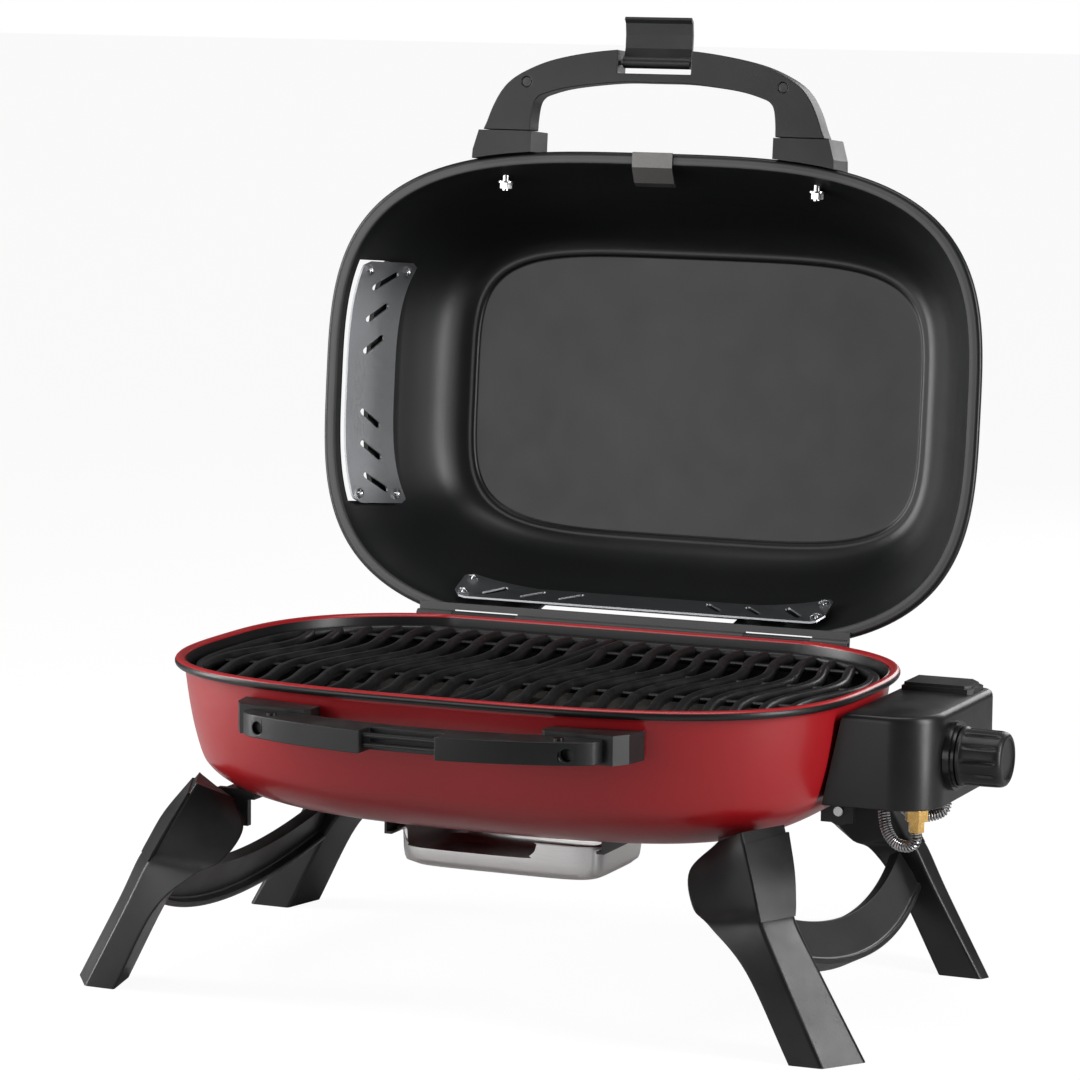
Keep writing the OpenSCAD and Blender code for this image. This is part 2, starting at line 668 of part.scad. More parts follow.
module lid_latch() color("#2f3031") on_open_lid() difference() {
    union() {
        along_x(5.2, -30.5, 30.5, latch_y, latch_z);
        translate([-30.5, 0, 0]) rotate([90, 0, 90]) linear_extrude(61) polygon([
            [latch_y - 2, latch_z + 1.4], [latch_y - 12, latch_z + 3.2],
            [latch_y - 24, latch_z + 3], [latch_y - 35, latch_z + 1],
            [latch_y - 38.2, latch_z - 3], [latch_y - 36, latch_z - 4],
            [latch_y - 33, latch_z - 1.4], [latch_y - 24, latch_z + 0.4],
            [latch_y - 12, latch_z + 0.6], [latch_y - 2, latch_z - 2]]);
    }
    along_x(pin_r + 0.05, -40, 40, latch_y, latch_z);
}

// ----------------------------------------------------------------- assembly

cookbox();
grid_rests();
hinge_leaf_base();
hinge_rod();
base_grip();
base_shoes();
base_rods();
base_screws();
control_box();
box_cap();
box_bracket();
knob_bezel();
valve_body();
gas_nuts();
gas_line_a();
gas_line_b();
burner_outer();
burner_inner();
burner_posts();
sear_plates();
igniters();
leg_brackets();
leg_pins();
tray_rails();
left_leg_frame();
left_leg_caps();
right_leg_frame();
right_leg_caps();
drip_tray();
control_knob();
valve_stem();
grid_left();
grid_right();
lid_shell();
lid_rim_band();
hinge_leaf_lid();
vent_plate_left();
vent_plate_rear();
vent_screws();
lid_grip();
lid_shoes();
lid_bolts();
lid_screws();
rim_clip();
latch_pin();
lid_latch();
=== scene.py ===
"""Looks of a portable gas grill, built over its CAD frame.

Every sub-assembly is a class with its own sizes. Sizes are in millimetres from the middle of
the cookbox, with the lid's own pieces given as they lie with the lid shut.
"""

import logging
import math
from collections.abc import Sequence
from dataclasses import dataclass, field
from enum import Enum

import bmesh
import bpy
from mathutils import Matrix, Vector


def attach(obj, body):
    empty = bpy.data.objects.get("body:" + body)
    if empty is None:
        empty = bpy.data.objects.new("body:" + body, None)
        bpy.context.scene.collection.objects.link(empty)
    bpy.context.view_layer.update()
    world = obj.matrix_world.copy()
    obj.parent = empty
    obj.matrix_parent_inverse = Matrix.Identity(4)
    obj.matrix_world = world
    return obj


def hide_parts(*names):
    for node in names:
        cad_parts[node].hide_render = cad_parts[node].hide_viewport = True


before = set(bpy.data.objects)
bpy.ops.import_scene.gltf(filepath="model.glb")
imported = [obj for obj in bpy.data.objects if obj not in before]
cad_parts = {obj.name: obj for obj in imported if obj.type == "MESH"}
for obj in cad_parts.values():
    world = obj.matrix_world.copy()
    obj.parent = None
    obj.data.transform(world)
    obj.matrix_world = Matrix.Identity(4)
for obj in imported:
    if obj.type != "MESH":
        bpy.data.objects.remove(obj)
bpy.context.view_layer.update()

LOG = logging.getLogger("gas_grill")
MM = 0.001
MIDDLE = Vector((31.5, 45.0, 0.0))
LID_AXIS = (197.0, 261.4)
LID_OPEN = math.radians(95.1)
LINE_HOLES_Y = (14.0, 44.0)
LINE_HOLES_Z = 200.0
LINE_HOLE_R = 8.0

Row = Sequence[float]
Ring = list[tuple[float, float, float]]


class Place(Enum):
    """Pose in which a piece's sizes are given."""

    STANDING = "as it stands"
    SHUT_LID = "with the lid shut"


# ------------------------------------------------------------------ geometry


def to_row(point: Row, place: Place = Place.STANDING) -> Vector:
    """Moves a point from the grill's own millimetres to the model's metres.

    Args:
        point: The point in millimetres from the middle of the cookbox.
        place: Whether the point is given as it stands or with the lid shut.

    Returns:
        The point in metres, in the model's frame.
    """
    x, y, z = point
    if place is Place.SHUT_LID:
        c, s = math.cos(LID_OPEN), math.sin(LID_OPEN)
        dy, dz = y - LID_AXIS[0], z - LID_AXIS[1]
        y, z = LID_AXIS[0] + dy * c + dz * s, LID_AXIS[1] - dy * s + dz * c
    return (Vector((x, y, z)) - MIDDLE) * MM


def outline(half_x: float, half_y: float, power: float, back: float, count: int) -> list[Row]:
    """Rounded outline that is cut flat at the back.

    Args:
        half_x: Half width.
        half_y: Half depth.
        power: Squareness, 2 for an ellipse.
        back: Where the back is cut flat.
        count: Number of points.

    Returns:
        The outline's points, counter-clockwise from above.
    """
    rows = []
    for i in range(count):
        t = 2 * math.pi * i / count
        c, s = math.cos(t), math.sin(t)
        x = half_x * math.copysign(abs(c) ** (2 / power), c)
        y = half_y * math.copysign(abs(s) ** (2 / power), s)
        rows.append((x, min(back, y)))
    return even_spacing(rows, count)


def even_spacing(loop: list[Row], count: int) -> list[Row]:
    """Points at even distances round a closed loop.

    Args:
        loop: The loop's corners.
        count: Number of points wanted.

    Returns:
        The evenly spaced points.
    """
    ends = [Vector(p) for p in loop] + [Vector(loop[0])]
    steps = [(b - a).length for a, b in zip(ends, ends[1:])]
    total, out, k, walked = sum(steps), [], 0, 0.0
    for i in range(count):
        goal = total * i / count
        while walked + steps[k] < goal:
            walked += steps[k]
            k += 1
        share = (goal - walked) / steps[k] if steps[k] else 0.0
        out.append(tuple(ends[k].lerp(ends[k + 1], share)))
    return out


def smooth_line(points: Sequence[Row], steps: int) -> list[Row]:
    """Smooth curve through points.

    Args:
        points: Points that the curve passes through; a repeated point makes a corner.
        steps: Pieces between each two points.

    Returns:
        The curve's points.
    """
    vectors = [Vector(p) for p in points]
    out = []
    for i in range(len(vectors) - 1):
        b, c = vectors[i], vectors[i + 1]
        a = vectors[i - 1] if i else b + (b - c)
        d = vectors[i + 2] if i + 2 < len(vectors) else c + (c - b)
        for k in range(steps):
            t = k / steps
            out.append(tuple(0.5 * ((2 * b) + (c - a) * t + (2 * a - 5 * b + 4 * c - d) * t**2
                                    + (3 * b - a - 3 * c + d) * t**3)))
    out.append(tuple(vectors[-1]))
    return out


def arc(middle: Row, radius: float, start: float, end: float, count: int) -> list[Row]:
    """Points on an arc, in degrees.

    Args:
        middle: The arc's centre.
        radius: The arc's radius.
        start: First angle.
        end: Last angle.
        count: Number of points.

    Returns:
        The arc's points.
    """
    angles = [math.radians(start + (end - start) * i / (count - 1)) for i in range(count)]
    return [(middle[0] + radius * math.cos(a), middle[1] + radius * math.sin(a)) for a in angles]


def bowed(half: float, end_y: float, bulge: float, count: int = 24) -> list[Row]:
    """Front-facing bow between two ends, from left to right.

    Args:
        half: Half the distance between the ends.
        end_y: Where both ends are.
        bulge: How far the middle comes forward of the ends.
        count: Number of steps.

    Returns:
        The bow's points.
    """
    radius = (half * half + bulge * bulge) / (2 * bulge)
    reach = math.asin(half / radius)
    turns = [-reach + 2 * reach * i / count for i in range(count + 1)]
    return [(radius * math.sin(t), end_y + radius * (math.cos(reach) - math.cos(t)))
            for t in turns]


@dataclass
class Form:
    """A mesh being built, in millimetres."""

    points: list[Row] = field(default_factory=list)
    faces: list[tuple[int, ...]] = field(default_factory=list)
    coats: list[int] = field(default_factory=list)

    def face(self, corners: Sequence[int], coat: int) -> None:
        """Adds one face with its coat."""
        self.faces.append(tuple(corners))
        self.coats.append(coat)

    def loft(self, rings: Sequence[Sequence[Row]], coat: int | Sequence[int] = 0,
             closed: bool = True, caps: bool = True) -> "Form":
        """Skins a list of rings.

        Args:
            rings: Rings of the same length.
            coat: Coat of all bands, or one for each band.
            closed: Whether each ring closes on itself.
            caps: Whether the first and last rings are filled.

        Returns:
            This form.
        """
        base, n = len(self.points), len(rings[0])
        self.points += [p for ring in rings for p in ring]
        bands = [coat] * (len(rings) - 1) if isinstance(coat, int) else coat
        for r, tint in enumerate(bands):
            for i in range(n if closed else n - 1):
                j, a = (i + 1) % n, base + r * n
                self.face((a + i, a + j, a + n + j, a + n + i), tint)
        if caps:
            self.face([base + i for i in reversed(range(n))], bands[0])
            self.face([base + (len(rings) - 1) * n + i for i in range(n)], bands[-1])
        return self

    def prism(self, shape: Sequence[Row], low: float, high: float, coat: int = 0) -> "Form":
        """Upright prism of an outline."""
        return self.loft([[(x, y, z) for x, y in shape] for z in (low, high)], coat)

    def block(self, low: Row, high: Row, coat: int = 0) -> "Form":
        """Block between two corners."""
        (a, b, c), (d, e, f) = low, high
        return self.prism([(a, b), (d, b), (d, e), (a, e)], c, f, coat)

    def tube(self, path: Sequence[Row], radius: float | Sequence[float], sides: int = 16,
             coat: int = 0, caps: bool = True) -> "Form":
        """Round tube along a path.

        Args:
            path: The tube's centre line.
            radius: One radius, or one for each point.
            sides: Facets round the tube.
            coat: The tube's coat.
            caps: Whether the ends are filled.

        Returns:
            This form.
        """
        line = [Vector(p) for p in path]
        radii = [radius] * len(line) if isinstance(radius, (int, float)) else radius
        rings, side = [], None
        for i, p in enumerate(line):
            along = (line[min(i + 1, len(line) - 1)] - line[max(i - 1, 0)]).normalized()
            guess = side or (Vector((0, 0, 1)) if abs(along.z) < 0.9 else Vector((1, 0, 0)))
            side = (guess - along * guess.dot(along)).normalized()
            up = along.cross(side)
            turns = [2 * math.pi * k / sides for k in range(sides)]
            rings.append([tuple(p + radii[i] * (math.cos(t) * side + math.sin(t) * up))
                          for t in turns])
        return self.loft(rings, coat, True, caps)

    def rail(self, path: Sequence[Row], section: Sequence[Row], coat: int = 0,
             closed: bool = False) -> "Form":
        """Bar with an upright section along a path.

        Args:
            path: The bar's centre line, with heights.
            section: Outline of offsets to the side and upwards.
            coat: The bar's coat.
            closed: Whether the bar joins its own start.

        Returns:
            This form.
        """
        line, last = [Vector(p) for p in path], len(path) - 1
        rings = []
        for i, p in enumerate(line):
            ahead = line[(i + 1) % (last + 1)] if closed else line[min(i + 1, last)]
            behind = line[i - 1] if closed else line[max(i - 1, 0)]
            along = (ahead - behind).normalized()
            side = along.cross(Vector((0, 0, 1))).normalized()
            rings.append([tuple(p + side * a + Vector((0, 0, b))) for a, b in section])
        if closed:
            rings.append(rings[0])
        return self.loft(rings, coat, True, not closed)

    def turned(self, start: Row, end: Row, profile: Sequence[Row], sides: int = 32,
               coat: int = 0) -> "Form":
        """Turned piece on an axis.

        Args:
            start: Where the profile's distance 0 is.
            end: A point further along the axis.
            profile: Rows of distance along the axis and radius.
            sides: Facets round the piece.
            coat: The piece's coat.

        Returns:
            This form.
        """
        a = Vector(start)
        along = (Vector(end) - a).normalized()
        side = along.orthogonal().normalized()
        up = along.cross(side)
        turns = [2 * math.pi * k / sides for k in range(sides)]
        rings = [[tuple(a + along * d + r * (math.cos(t) * side + math.sin(t) * up))
                  for t in turns] for d, r in profile]
        return self.loft(rings, coat)

    def piece(self, name: str, body: str, coats: Sequence["Finish"],
              place: Place = Place.STANDING, stands_for: Sequence[str] = (),
              edge: float = 0.0, sharp: float = 38.0, cuts: "Form | None" = None
              ) -> bpy.types.Object:
        """Makes the Blender object.

        Args:
            name: The piece's name.
            body: The CAD body that it rides on.
            coats: Finishes, in the order of the faces' coats.
            place: Pose in which the sizes are given.
            stands_for: CAD nodes that it replaces.
            edge: Width of the rounding along sharp edges, in millimetres.
            sharp: Angle above which an edge stays crisp, in degrees.
            cuts: A form to cut away.

        Returns:
            The object.
        """
        mesh = self.mesh(name, place)
        if cuts is not None:
            mesh = carved(mesh, cuts.mesh(name + "_cut", place))
        thing = bpy.data.objects.new(name, mesh)
        bpy.context.scene.collection.objects.link(thing)
        for coat in coats:
            mesh.materials.append(coat.material())
        mesh.polygons.foreach_set("use_smooth", [True] * len(mesh.polygons))
        mesh.set_sharp_from_angle(angle=math.radians(sharp))
        if edge:
            soften(thing, edge, sharp)
        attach(thing, body)
        if stands_for:
            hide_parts(*stands_for)
        LOG.info("%s: %d faces on %s", name, len(mesh.polygons), body)
        return thing

    def mesh(self, name: str, place: Place) -> bpy.types.Mesh:
        """Turns the form into a mesh in metres, with its faces turned outwards.

        Args:
            name: The mesh's name.
            place: Pose in which the sizes are given.

        Returns:
            The mesh.
        """
        mesh = bpy.data.meshes.new(name)
        mesh.from_pydata([to_row(p, place) for p in self.points], [], self.faces)
        mesh.polygons.foreach_set("material_index", self.coats)
        work = bmesh.new()
        work.from_mesh(mesh)
        bmesh.ops.recalc_face_normals(work, faces=work.faces)
        work.to_mesh(mesh)
        work.free()
        return mesh


def carved(mesh: bpy.types.Mesh, cutter: bpy.types.Mesh) -> bpy.types.Mesh:
    """A mesh with another cut away from it.

    Args:
        mesh: The mesh to cut.
        cutter: The closed mesh that is taken away.

    Returns:
        The cut mesh.
    """
    scene = bpy.context.scene.collection
    thing, tool = bpy.data.objects.new("work", mesh), bpy.data.objects.new("tool", cutter)
    for part in (thing, tool):
        scene.objects.link(part)
    step = thing.modifiers.new("Cut", "BOOLEAN")
    step.object, step.operation, step.solver = tool, "DIFFERENCE", "EXACT"
    step.use_self = True
    shaped = thing.evaluated_get(bpy.context.evaluated_depsgraph_get())
    result = bpy.data.meshes.new_from_object(shaped)
    for part in (thing, tool):
        bpy.data.objects.remove(part)
    return result


def soften(thing: bpy.types.Object, width: float, sharp: float = 30.0, steps: int = 3) -> None:
    """Rounds a piece's sharp edges.

    Args:
        thing: The piece.
        width: Width of the rounding in millimetres.
        sharp: Angle above which an edge is rounded, in degrees.
        steps: Facets across the rounding.
    """
    edge = thing.modifiers.new("Edge", "BEVEL")
    edge.width, edge.segments, edge.limit_method = width * MM, steps, "ANGLE"
    edge.angle_limit, edge.harden_normals = math.radians(sharp), False
    edge.use_clamp_overlap, edge.miter_outer = True, "MITER_ARC"
    tidy = thing.modifiers.new("Flat faces", "WEIGHTED_NORMAL")
    tidy.keep_sharp = False


# ------------------------------------------------------------------ materials


class Bench:
    """Adds and joins nodes in one node tree."""

    def __init__(self, tree: bpy.types.NodeTree) -> None:
        """Clears the tree."""
        self.tree = tree
        tree.nodes.clear()

    def add(self, kind: str, inputs: dict | None = None, **settings: object) -> bpy.types.Node:
        """Adds a node.

        Args:
            kind: The node's type.
            inputs: Values or sockets by input name or number.
            **settings: The node's own settings.

        Returns:
            The node.
        """
        node = self.tree.nodes.new(kind)
        for key, value in settings.items():
            setattr(node, key, value)
        for key, value in (inputs or {}).items():
            if isinstance(value, bpy.types.NodeSocket):
                self.tree.links.new(value, node.inputs[key])
            else:
                node.inputs[key].default_value = value
        return node

    def math(self, operation: str, a: object, b: object = 0.0, clamp: bool = False
             ) -> bpy.types.NodeSocket:
        """One arithmetic step on two values or sockets."""
        return self.add("ShaderNodeMath", {0: a, 1: b}, operation=operation,
                        use_clamp=clamp).outputs[0]

    def ramp(self, value: bpy.types.NodeSocket, low: float, high: float, start: float = 0.0,
             end: float = 1.0) -> bpy.types.NodeSocket:
        """Maps a range of a value smoothly onto another."""
        return self.add("ShaderNodeMapRange", {0: value, 1: low, 2: high, 3: start, 4: end},
                        interpolation_type="SMOOTHSTEP").outputs[0]

    def blend(self, share: object, a: object, b: object) -> bpy.types.NodeSocket:
        """Mixes two colours.

        Args:
            share: How much of the second colour shows, as a value or socket.
            a: The first colour.
            b: The second colour.

        Returns:
            The mixed colour.
        """
        node = self.add("ShaderNodeMix", data_type="RGBA")
        for key, value in ((0, share), (6, a), (7, b)):
            if isinstance(value, bpy.types.NodeSocket):
                self.tree.links.new(value, node.inputs[key])
            else:
                node.inputs[key].default_value = value
        return node.outputs[2]

    def noise(self, scale: object, detail: float = 3.0, rough: float = 0.5,
              where: bpy.types.NodeSocket | None = None) -> bpy.types.NodeSocket:
        """Cloudy value that sticks to the piece."""
        spot = where or self.add("ShaderNodeTexCoord").outputs["Object"]
        return self.add("ShaderNodeTexNoise", {"Vector": spot, "Scale": scale,
                        "Detail": detail, "Roughness": rough}).outputs[0]


class Effect:
    """A shader node group that several finishes share."""

    title = "effect"
    takes: tuple[tuple[str, float], ...] = ()
    gives: tuple[str, ...] = ()

    @classmethod
    def group(cls) -> bpy.types.NodeTree:
        """Finds the group, or builds it the first time that it is asked for.

        Returns:
            The group's node tree.
        """
        tree = bpy.data.node_groups.get(cls.title)
        if tree is None:
            tree = bpy.data.node_groups.new(cls.title, "ShaderNodeTree")
            bench = Bench(tree)
            for name, value in cls.takes:
                socket = tree.interface.new_socket(name, in_out="INPUT",
                                                   socket_type="NodeSocketFloat")
                socket.default_value = value
            for name in cls.gives:
                tree.interface.new_socket(name, in_out="OUTPUT", socket_type="NodeSocketFloat")
            start = bench.add("NodeGroupInput")
            cls.fill(bench, start, bench.add("NodeGroupOutput"))
        return tree

    @classmethod
    def fill(cls, bench: Bench, start: bpy.types.Node, end: bpy.types.Node) -> None:
        """Builds the group between its input and output nodes."""

    @classmethod
    def on(cls, bench: Bench, **values: object) -> bpy.types.Node:
        """Places the group in a material with its own values."""
        node = bench.add("ShaderNodeGroup", node_tree=cls.group())
        for key, value in values.items():
            node.inputs[key.replace("_", " ").capitalize()].default_value = value
        return node


class MouldGrain(Effect):
    """Fine spark-eroded grain of moulded plastic."""

    title = "mould grain"
    takes = (("Size", 1.0),)
    gives = ("Height", "Tone")

    @classmethod
    def fill(cls, bench: Bench, start: bpy.types.Node, end: bpy.types.Node) -> None:
        """Mixes a fine pebble pattern with broad flow marks.

        Args:
            bench: Where the nodes are added.
            start: The group's input node.
            end: The group's output node.
        """
        spot = bench.add("ShaderNodeTexCoord").outputs["Object"]
        fine = bench.math("DIVIDE", 1400.0, start.outputs["Size"])
        cells = bench.add("ShaderNodeTexVoronoi", {"Vector": spot, "Scale": fine},
                          feature="SMOOTH_F1")
        soft = bench.noise(bench.math("DIVIDE", 3200.0, start.outputs["Size"]), 2.0)
        height = bench.math("ADD", cells.outputs["Distance"], bench.math("MULTIPLY", soft, 0.6))
        links = bench.tree.links
        links.new(height, end.inputs["Height"])
        links.new(bench.noise(14.0, 5.0, 0.62), end.inputs["Tone"])


class EdgeRub(Effect):
    """Mask that is bright along a piece's outer edges."""

    title = "edge rub"
    takes = (("Width", 0.0012), ("Breakup", 60.0))
    gives = ("Mask",)

    @classmethod
    def fill(cls, bench: Bench, start: bpy.types.Node, end: bpy.types.Node) -> None:
        """Compares the rounded and the true normal.

        Args:
            bench: Where the nodes are added.
            start: The group's input node.
            end: The group's output node.
        """
        round_off = bench.add("ShaderNodeBevel", {"Radius": start.outputs["Width"]}, samples=6)
        true = bench.add("ShaderNodeNewGeometry").outputs["Normal"]
        match = bench.add("ShaderNodeVectorMath", {0: round_off.outputs[0], 1: true},
                          operation="DOT_PRODUCT").outputs["Value"]
        edge = bench.ramp(bench.math("SUBTRACT", 1.0, match), 0.01, 0.22)
        patch = bench.ramp(bench.noise(start.outputs["Breakup"], 6.0, 0.7), 0.38, 0.66)
        bench.tree.links.new(bench.math("MULTIPLY", edge, patch), end.inputs["Mask"])


class BrushLines(Effect):
    """Fine drawn lines along one direction of sheet metal."""

    title = "brush lines"
    takes = (("Across x", 40.0), ("Across y", 1500.0), ("Across z", 1500.0))
    gives = ("Lines", "Clouds")

    @classmethod
    def fill(cls, bench: Bench, start: bpy.types.Node, end: bpy.types.Node) -> None:
        """Stretches noise along the brushing direction.

        Args:
            bench: Where the nodes are added.
            start: The group's input node.
            end: The group's output node.
        """
        spot = bench.add("ShaderNodeTexCoord").outputs["Object"]
        scale = bench.add("ShaderNodeCombineXYZ", {i: start.outputs[i] for i in range(3)})
        drawn = bench.add("ShaderNodeVectorMath", {0: spot, 1: scale.outputs[0]},
                          operation="MULTIPLY").outputs[0]
        links = bench.tree.links
        links.new(bench.noise(1.0, 4.0, 0.65, drawn), end.inputs["Lines"])
        links.new(bench.noise(9.0, 5.0, 0.6), end.inputs["Clouds"])


class SettledDust(Effect):
    """Thin dust on faces that look up."""

    title = "settled dust"
    takes = (("Amount", 0.3),)
    gives = ("Mask",)

    @classmethod
    def fill(cls, bench: Bench, start: bpy.types.Node, end: bpy.types.Node) -> None:
        """Fades with the slope and breaks up with noise.

        Args:
            bench: Where the nodes are added.
            start: The group's input node.
            end: The group's output node.
        """
        true = bench.add("ShaderNodeNewGeometry").outputs["Normal"]
        up = bench.add("ShaderNodeSeparateXYZ", {0: true}).outputs["Z"]
        lies = bench.ramp(up, 0.25, 1.0)
        patch = bench.ramp(bench.noise(38.0, 8.0, 0.72), 0.35, 0.75)
        mask = bench.math("MULTIPLY", bench.math("MULTIPLY", lies, patch), start.outputs[0])
        bench.tree.links.new(mask, end.inputs["Mask"])


Colour = tuple[float, float, float]


@dataclass(frozen=True)
class Finish:
    """One surface finish with its material."""

    title: str
    slot: str
    colour: Colour = (0.5, 0.5, 0.5)
    rough: float = 0.5

    def material(self) -> bpy.types.Material:
        """Finds the finish's material, or builds it the first time that it is asked for.

        Returns:
            The material.
        """
        known = bpy.data.materials.get(self.title)
        if known is not None:
            return known
        made = bpy.data.materials.new(self.title)
        made.use_nodes = True
        made.diffuse_color = (*self.colour, 1.0)
        bench = Bench(made.node_tree)
        shader = bench.add("ShaderNodeBsdfPrincipled")
        shader.inputs["Base Color"].default_value = (*self.colour, 1.0)
        shader.inputs["Roughness"].default_value = self.rough
        self.dress(bench, shader)
        bench.add("ShaderNodeOutputMaterial", {"Surface": shader.outputs[0]})
        return made

    def dress(self, bench: Bench, shader: bpy.types.Node) -> None:
        """Adds the finish's own detail."""

    def tint(self, factor: float) -> tuple[float, float, float, float]:
        """The colour, lighter or darker."""
        return (*(min(1.0, c * factor) for c in self.colour), 1.0)

    @staticmethod
    def set(bench: Bench, shader: bpy.types.Node, **links: bpy.types.NodeSocket) -> None:
        """Joins sockets to the shader's inputs by name."""
        for key, socket in links.items():
            bench.tree.links.new(socket, shader.inputs[key.replace("_", " ").title()])

    @staticmethod
    def bump(bench: Bench, height: bpy.types.NodeSocket, depth: float, strength: float = 1.0
             ) -> bpy.types.NodeSocket:
        """A normal from a height, with the depth in millimetres."""
        return bench.add("ShaderNodeBump", {"Height": height, "Strength": strength,
                                            "Distance": depth * MM}).outputs[0]


@dataclass(frozen=True)
class Enamel(Finish):
    """Fired or baked enamel on sheet steel."""

    peel: float = 0.05
    coat: float = 0.5
    gloss: float = 0.12
    mottle: float = 0.12
    dust: float = 0.03

    def dress(self, bench: Bench, shader: bpy.types.Node) -> None:
        """Orange peel, slight colour drift, thin dust and a clear top.

        Args:
            bench: Where the nodes are added.
            shader: The material's shader.
        """
        drift = bench.ramp(bench.noise(7.0, 4.0), 0.3, 0.7)
        base = bench.blend(drift, self.tint(1 - self.mottle), self.tint(1 + self.mottle))
        dust = SettledDust.on(bench, amount=self.dust).outputs[0]
        base = bench.blend(dust, base, (0.42, 0.40, 0.38, 1.0))
        smear = bench.ramp(bench.noise(24.0, 6.0, 0.65), 0.3, 0.75, self.rough - 0.01,
                           self.rough + 0.02)
        rough = bench.math("ADD", smear, bench.math("MULTIPLY", dust, 0.5))
        height = bench.math("ADD", bench.noise(190.0, 2.0),
                            bench.math("MULTIPLY", bench.noise(900.0, 2.0), 0.25))
        self.set(bench, shader, Base_Color=base, Roughness=rough,
                 Normal=self.bump(bench, height, self.peel))
        shader.inputs["Coat Weight"].default_value = self.coat
        shader.inputs["Coat Roughness"].default_value = self.gloss


@dataclass(frozen=True)
class Moulded(Finish):
    """Moulded plastic with a fine grain."""

    grain: float = 0.05
    size: float = 1.0
    rub: float = 0.25

    def dress(self, bench: Bench, shader: bpy.types.Node) -> None:
        """Grain, flow marks, rubbed edges and settled dust.

        Args:
            bench: Where the nodes are added.
            shader: The material's shader.
        """
        grain = MouldGrain.on(bench, size=self.size)
        edge = EdgeRub.on(bench, width=0.0009, breakup=90.0).outputs[0]
        dust = SettledDust.on(bench, amount=0.14).outputs[0]
        tone = bench.ramp(grain.outputs["Tone"], 0.3, 0.7)
        base = bench.blend(tone, self.tint(0.82), self.tint(1.18))
        base = bench.blend(bench.math("MULTIPLY", edge, self.rub), base, self.tint(3.2))
        base = bench.blend(dust, base, (0.20, 0.19, 0.18, 1.0))
        rough = bench.ramp(grain.outputs["Tone"], 0.25, 0.75, self.rough - 0.05,
                           self.rough + 0.07)
        rough = bench.math("SUBTRACT", rough, bench.math("MULTIPLY", edge, 0.10))
        self.set(bench, shader, Base_Color=base, Roughness=rough,
                 Normal=self.bump(bench, grain.outputs["Height"], self.grain))


@dataclass(frozen=True)
class DrawnMetal(Finish):
    """Bare metal with brushing lines."""

    across: tuple[float, float, float] = (40.0, 1500.0, 1500.0)
    depth: float = 0.012
    tarnish: float = 0.15

    def dress(self, bench: Bench, shader: bpy.types.Node) -> None:
        """Brushing lines, clouds of tarnish and bright edges.

        Args:
            bench: Where the nodes are added.
            shader: The material's shader.
        """
        lines = BrushLines.on(bench, across_x=self.across[0], across_y=self.across[1],
                              across_z=self.across[2])
        clouds = bench.ramp(lines.outputs["Clouds"], 0.35, 0.7)
        base = bench.blend(bench.math("MULTIPLY", clouds, self.tarnish), self.tint(1.0),
                           self.tint(0.45))
        streak = bench.ramp(lines.outputs["Lines"], 0.3, 0.7)
        base = bench.blend(bench.math("MULTIPLY", streak, 0.25), base, self.tint(0.72))
        edge = EdgeRub.on(bench, width=0.0006, breakup=140.0).outputs[0]
        base = bench.blend(bench.math("MULTIPLY", edge, 0.5), base, self.tint(1.4))
        rough = bench.ramp(lines.outputs["Lines"], 0.25, 0.75, self.rough - 0.07,
                           self.rough + 0.09)
        self.set(bench, shader, Base_Color=base, Roughness=rough,
                 Normal=self.bump(bench, lines.outputs["Lines"], self.depth))
        shader.inputs["Metallic"].default_value = 1.0


@dataclass(frozen=True)
class PlatedMetal(Finish):
    """Bright plated or machined metal."""

    pits: float = 0.015

    def dress(self, bench: Bench, shader: bpy.types.Node) -> None:
        """Small scratches and darker smudges.

        Args:
            bench: Where the nodes are added.
            shader: The material's shader.
        """
        smudge = bench.ramp(bench.noise(85.0, 5.0, 0.65), 0.3, 0.72)
        base = bench.blend(bench.math("MULTIPLY", smudge, 0.5), self.tint(1.0), self.tint(0.6))
        rough = bench.ramp(bench.noise(160.0, 4.0), 0.3, 0.7, self.rough - 0.05,
                           self.rough + 0.12)
        self.set(bench, shader, Base_Color=base, Roughness=rough,
                 Normal=self.bump(bench, bench.noise(1500.0, 3.0), self.pits))
        shader.inputs["Metallic"].default_value = 1.0


@dataclass(frozen=True)
class CastIron(Finish):
    """Cast iron under thin porcelain enamel."""

    cast: float = 0.25

    def dress(self, bench: Bench, shader: bpy.types.Node) -> None:
        """Sand-cast waviness, fine pits and lighter edges.

        Args:
            bench: Where the nodes are added.
            shader: The material's shader.
        """
        lumps = bench.noise(150.0, 3.0, 0.55)
        pits = bench.add("ShaderNodeTexVoronoi", {
            "Vector": bench.add("ShaderNodeTexCoord").outputs["Object"],
            "Scale": 620.0}).outputs["Distance"]
        height = bench.math("ADD", lumps, bench.math("MULTIPLY", pits, 0.22))
        edge = EdgeRub.on(bench, width=0.0016, breakup=70.0).outputs[0]
        base = bench.blend(bench.ramp(bench.noise(32.0, 5.0), 0.3, 0.7), self.tint(0.7),
                           self.tint(1.3))
        base = bench.blend(bench.math("MULTIPLY", edge, 0.3), base, self.tint(3.0))
        rough = bench.ramp(bench.noise(60.0, 5.0, 0.6), 0.3, 0.7, self.rough - 0.08,
                           self.rough + 0.14)
        self.set(bench, shader, Base_Color=base, Roughness=rough,
                 Normal=self.bump(bench, height, self.cast))
        shader.inputs["Coat Weight"].default_value = 0.25
        shader.inputs["Coat Roughness"].default_value = 0.3


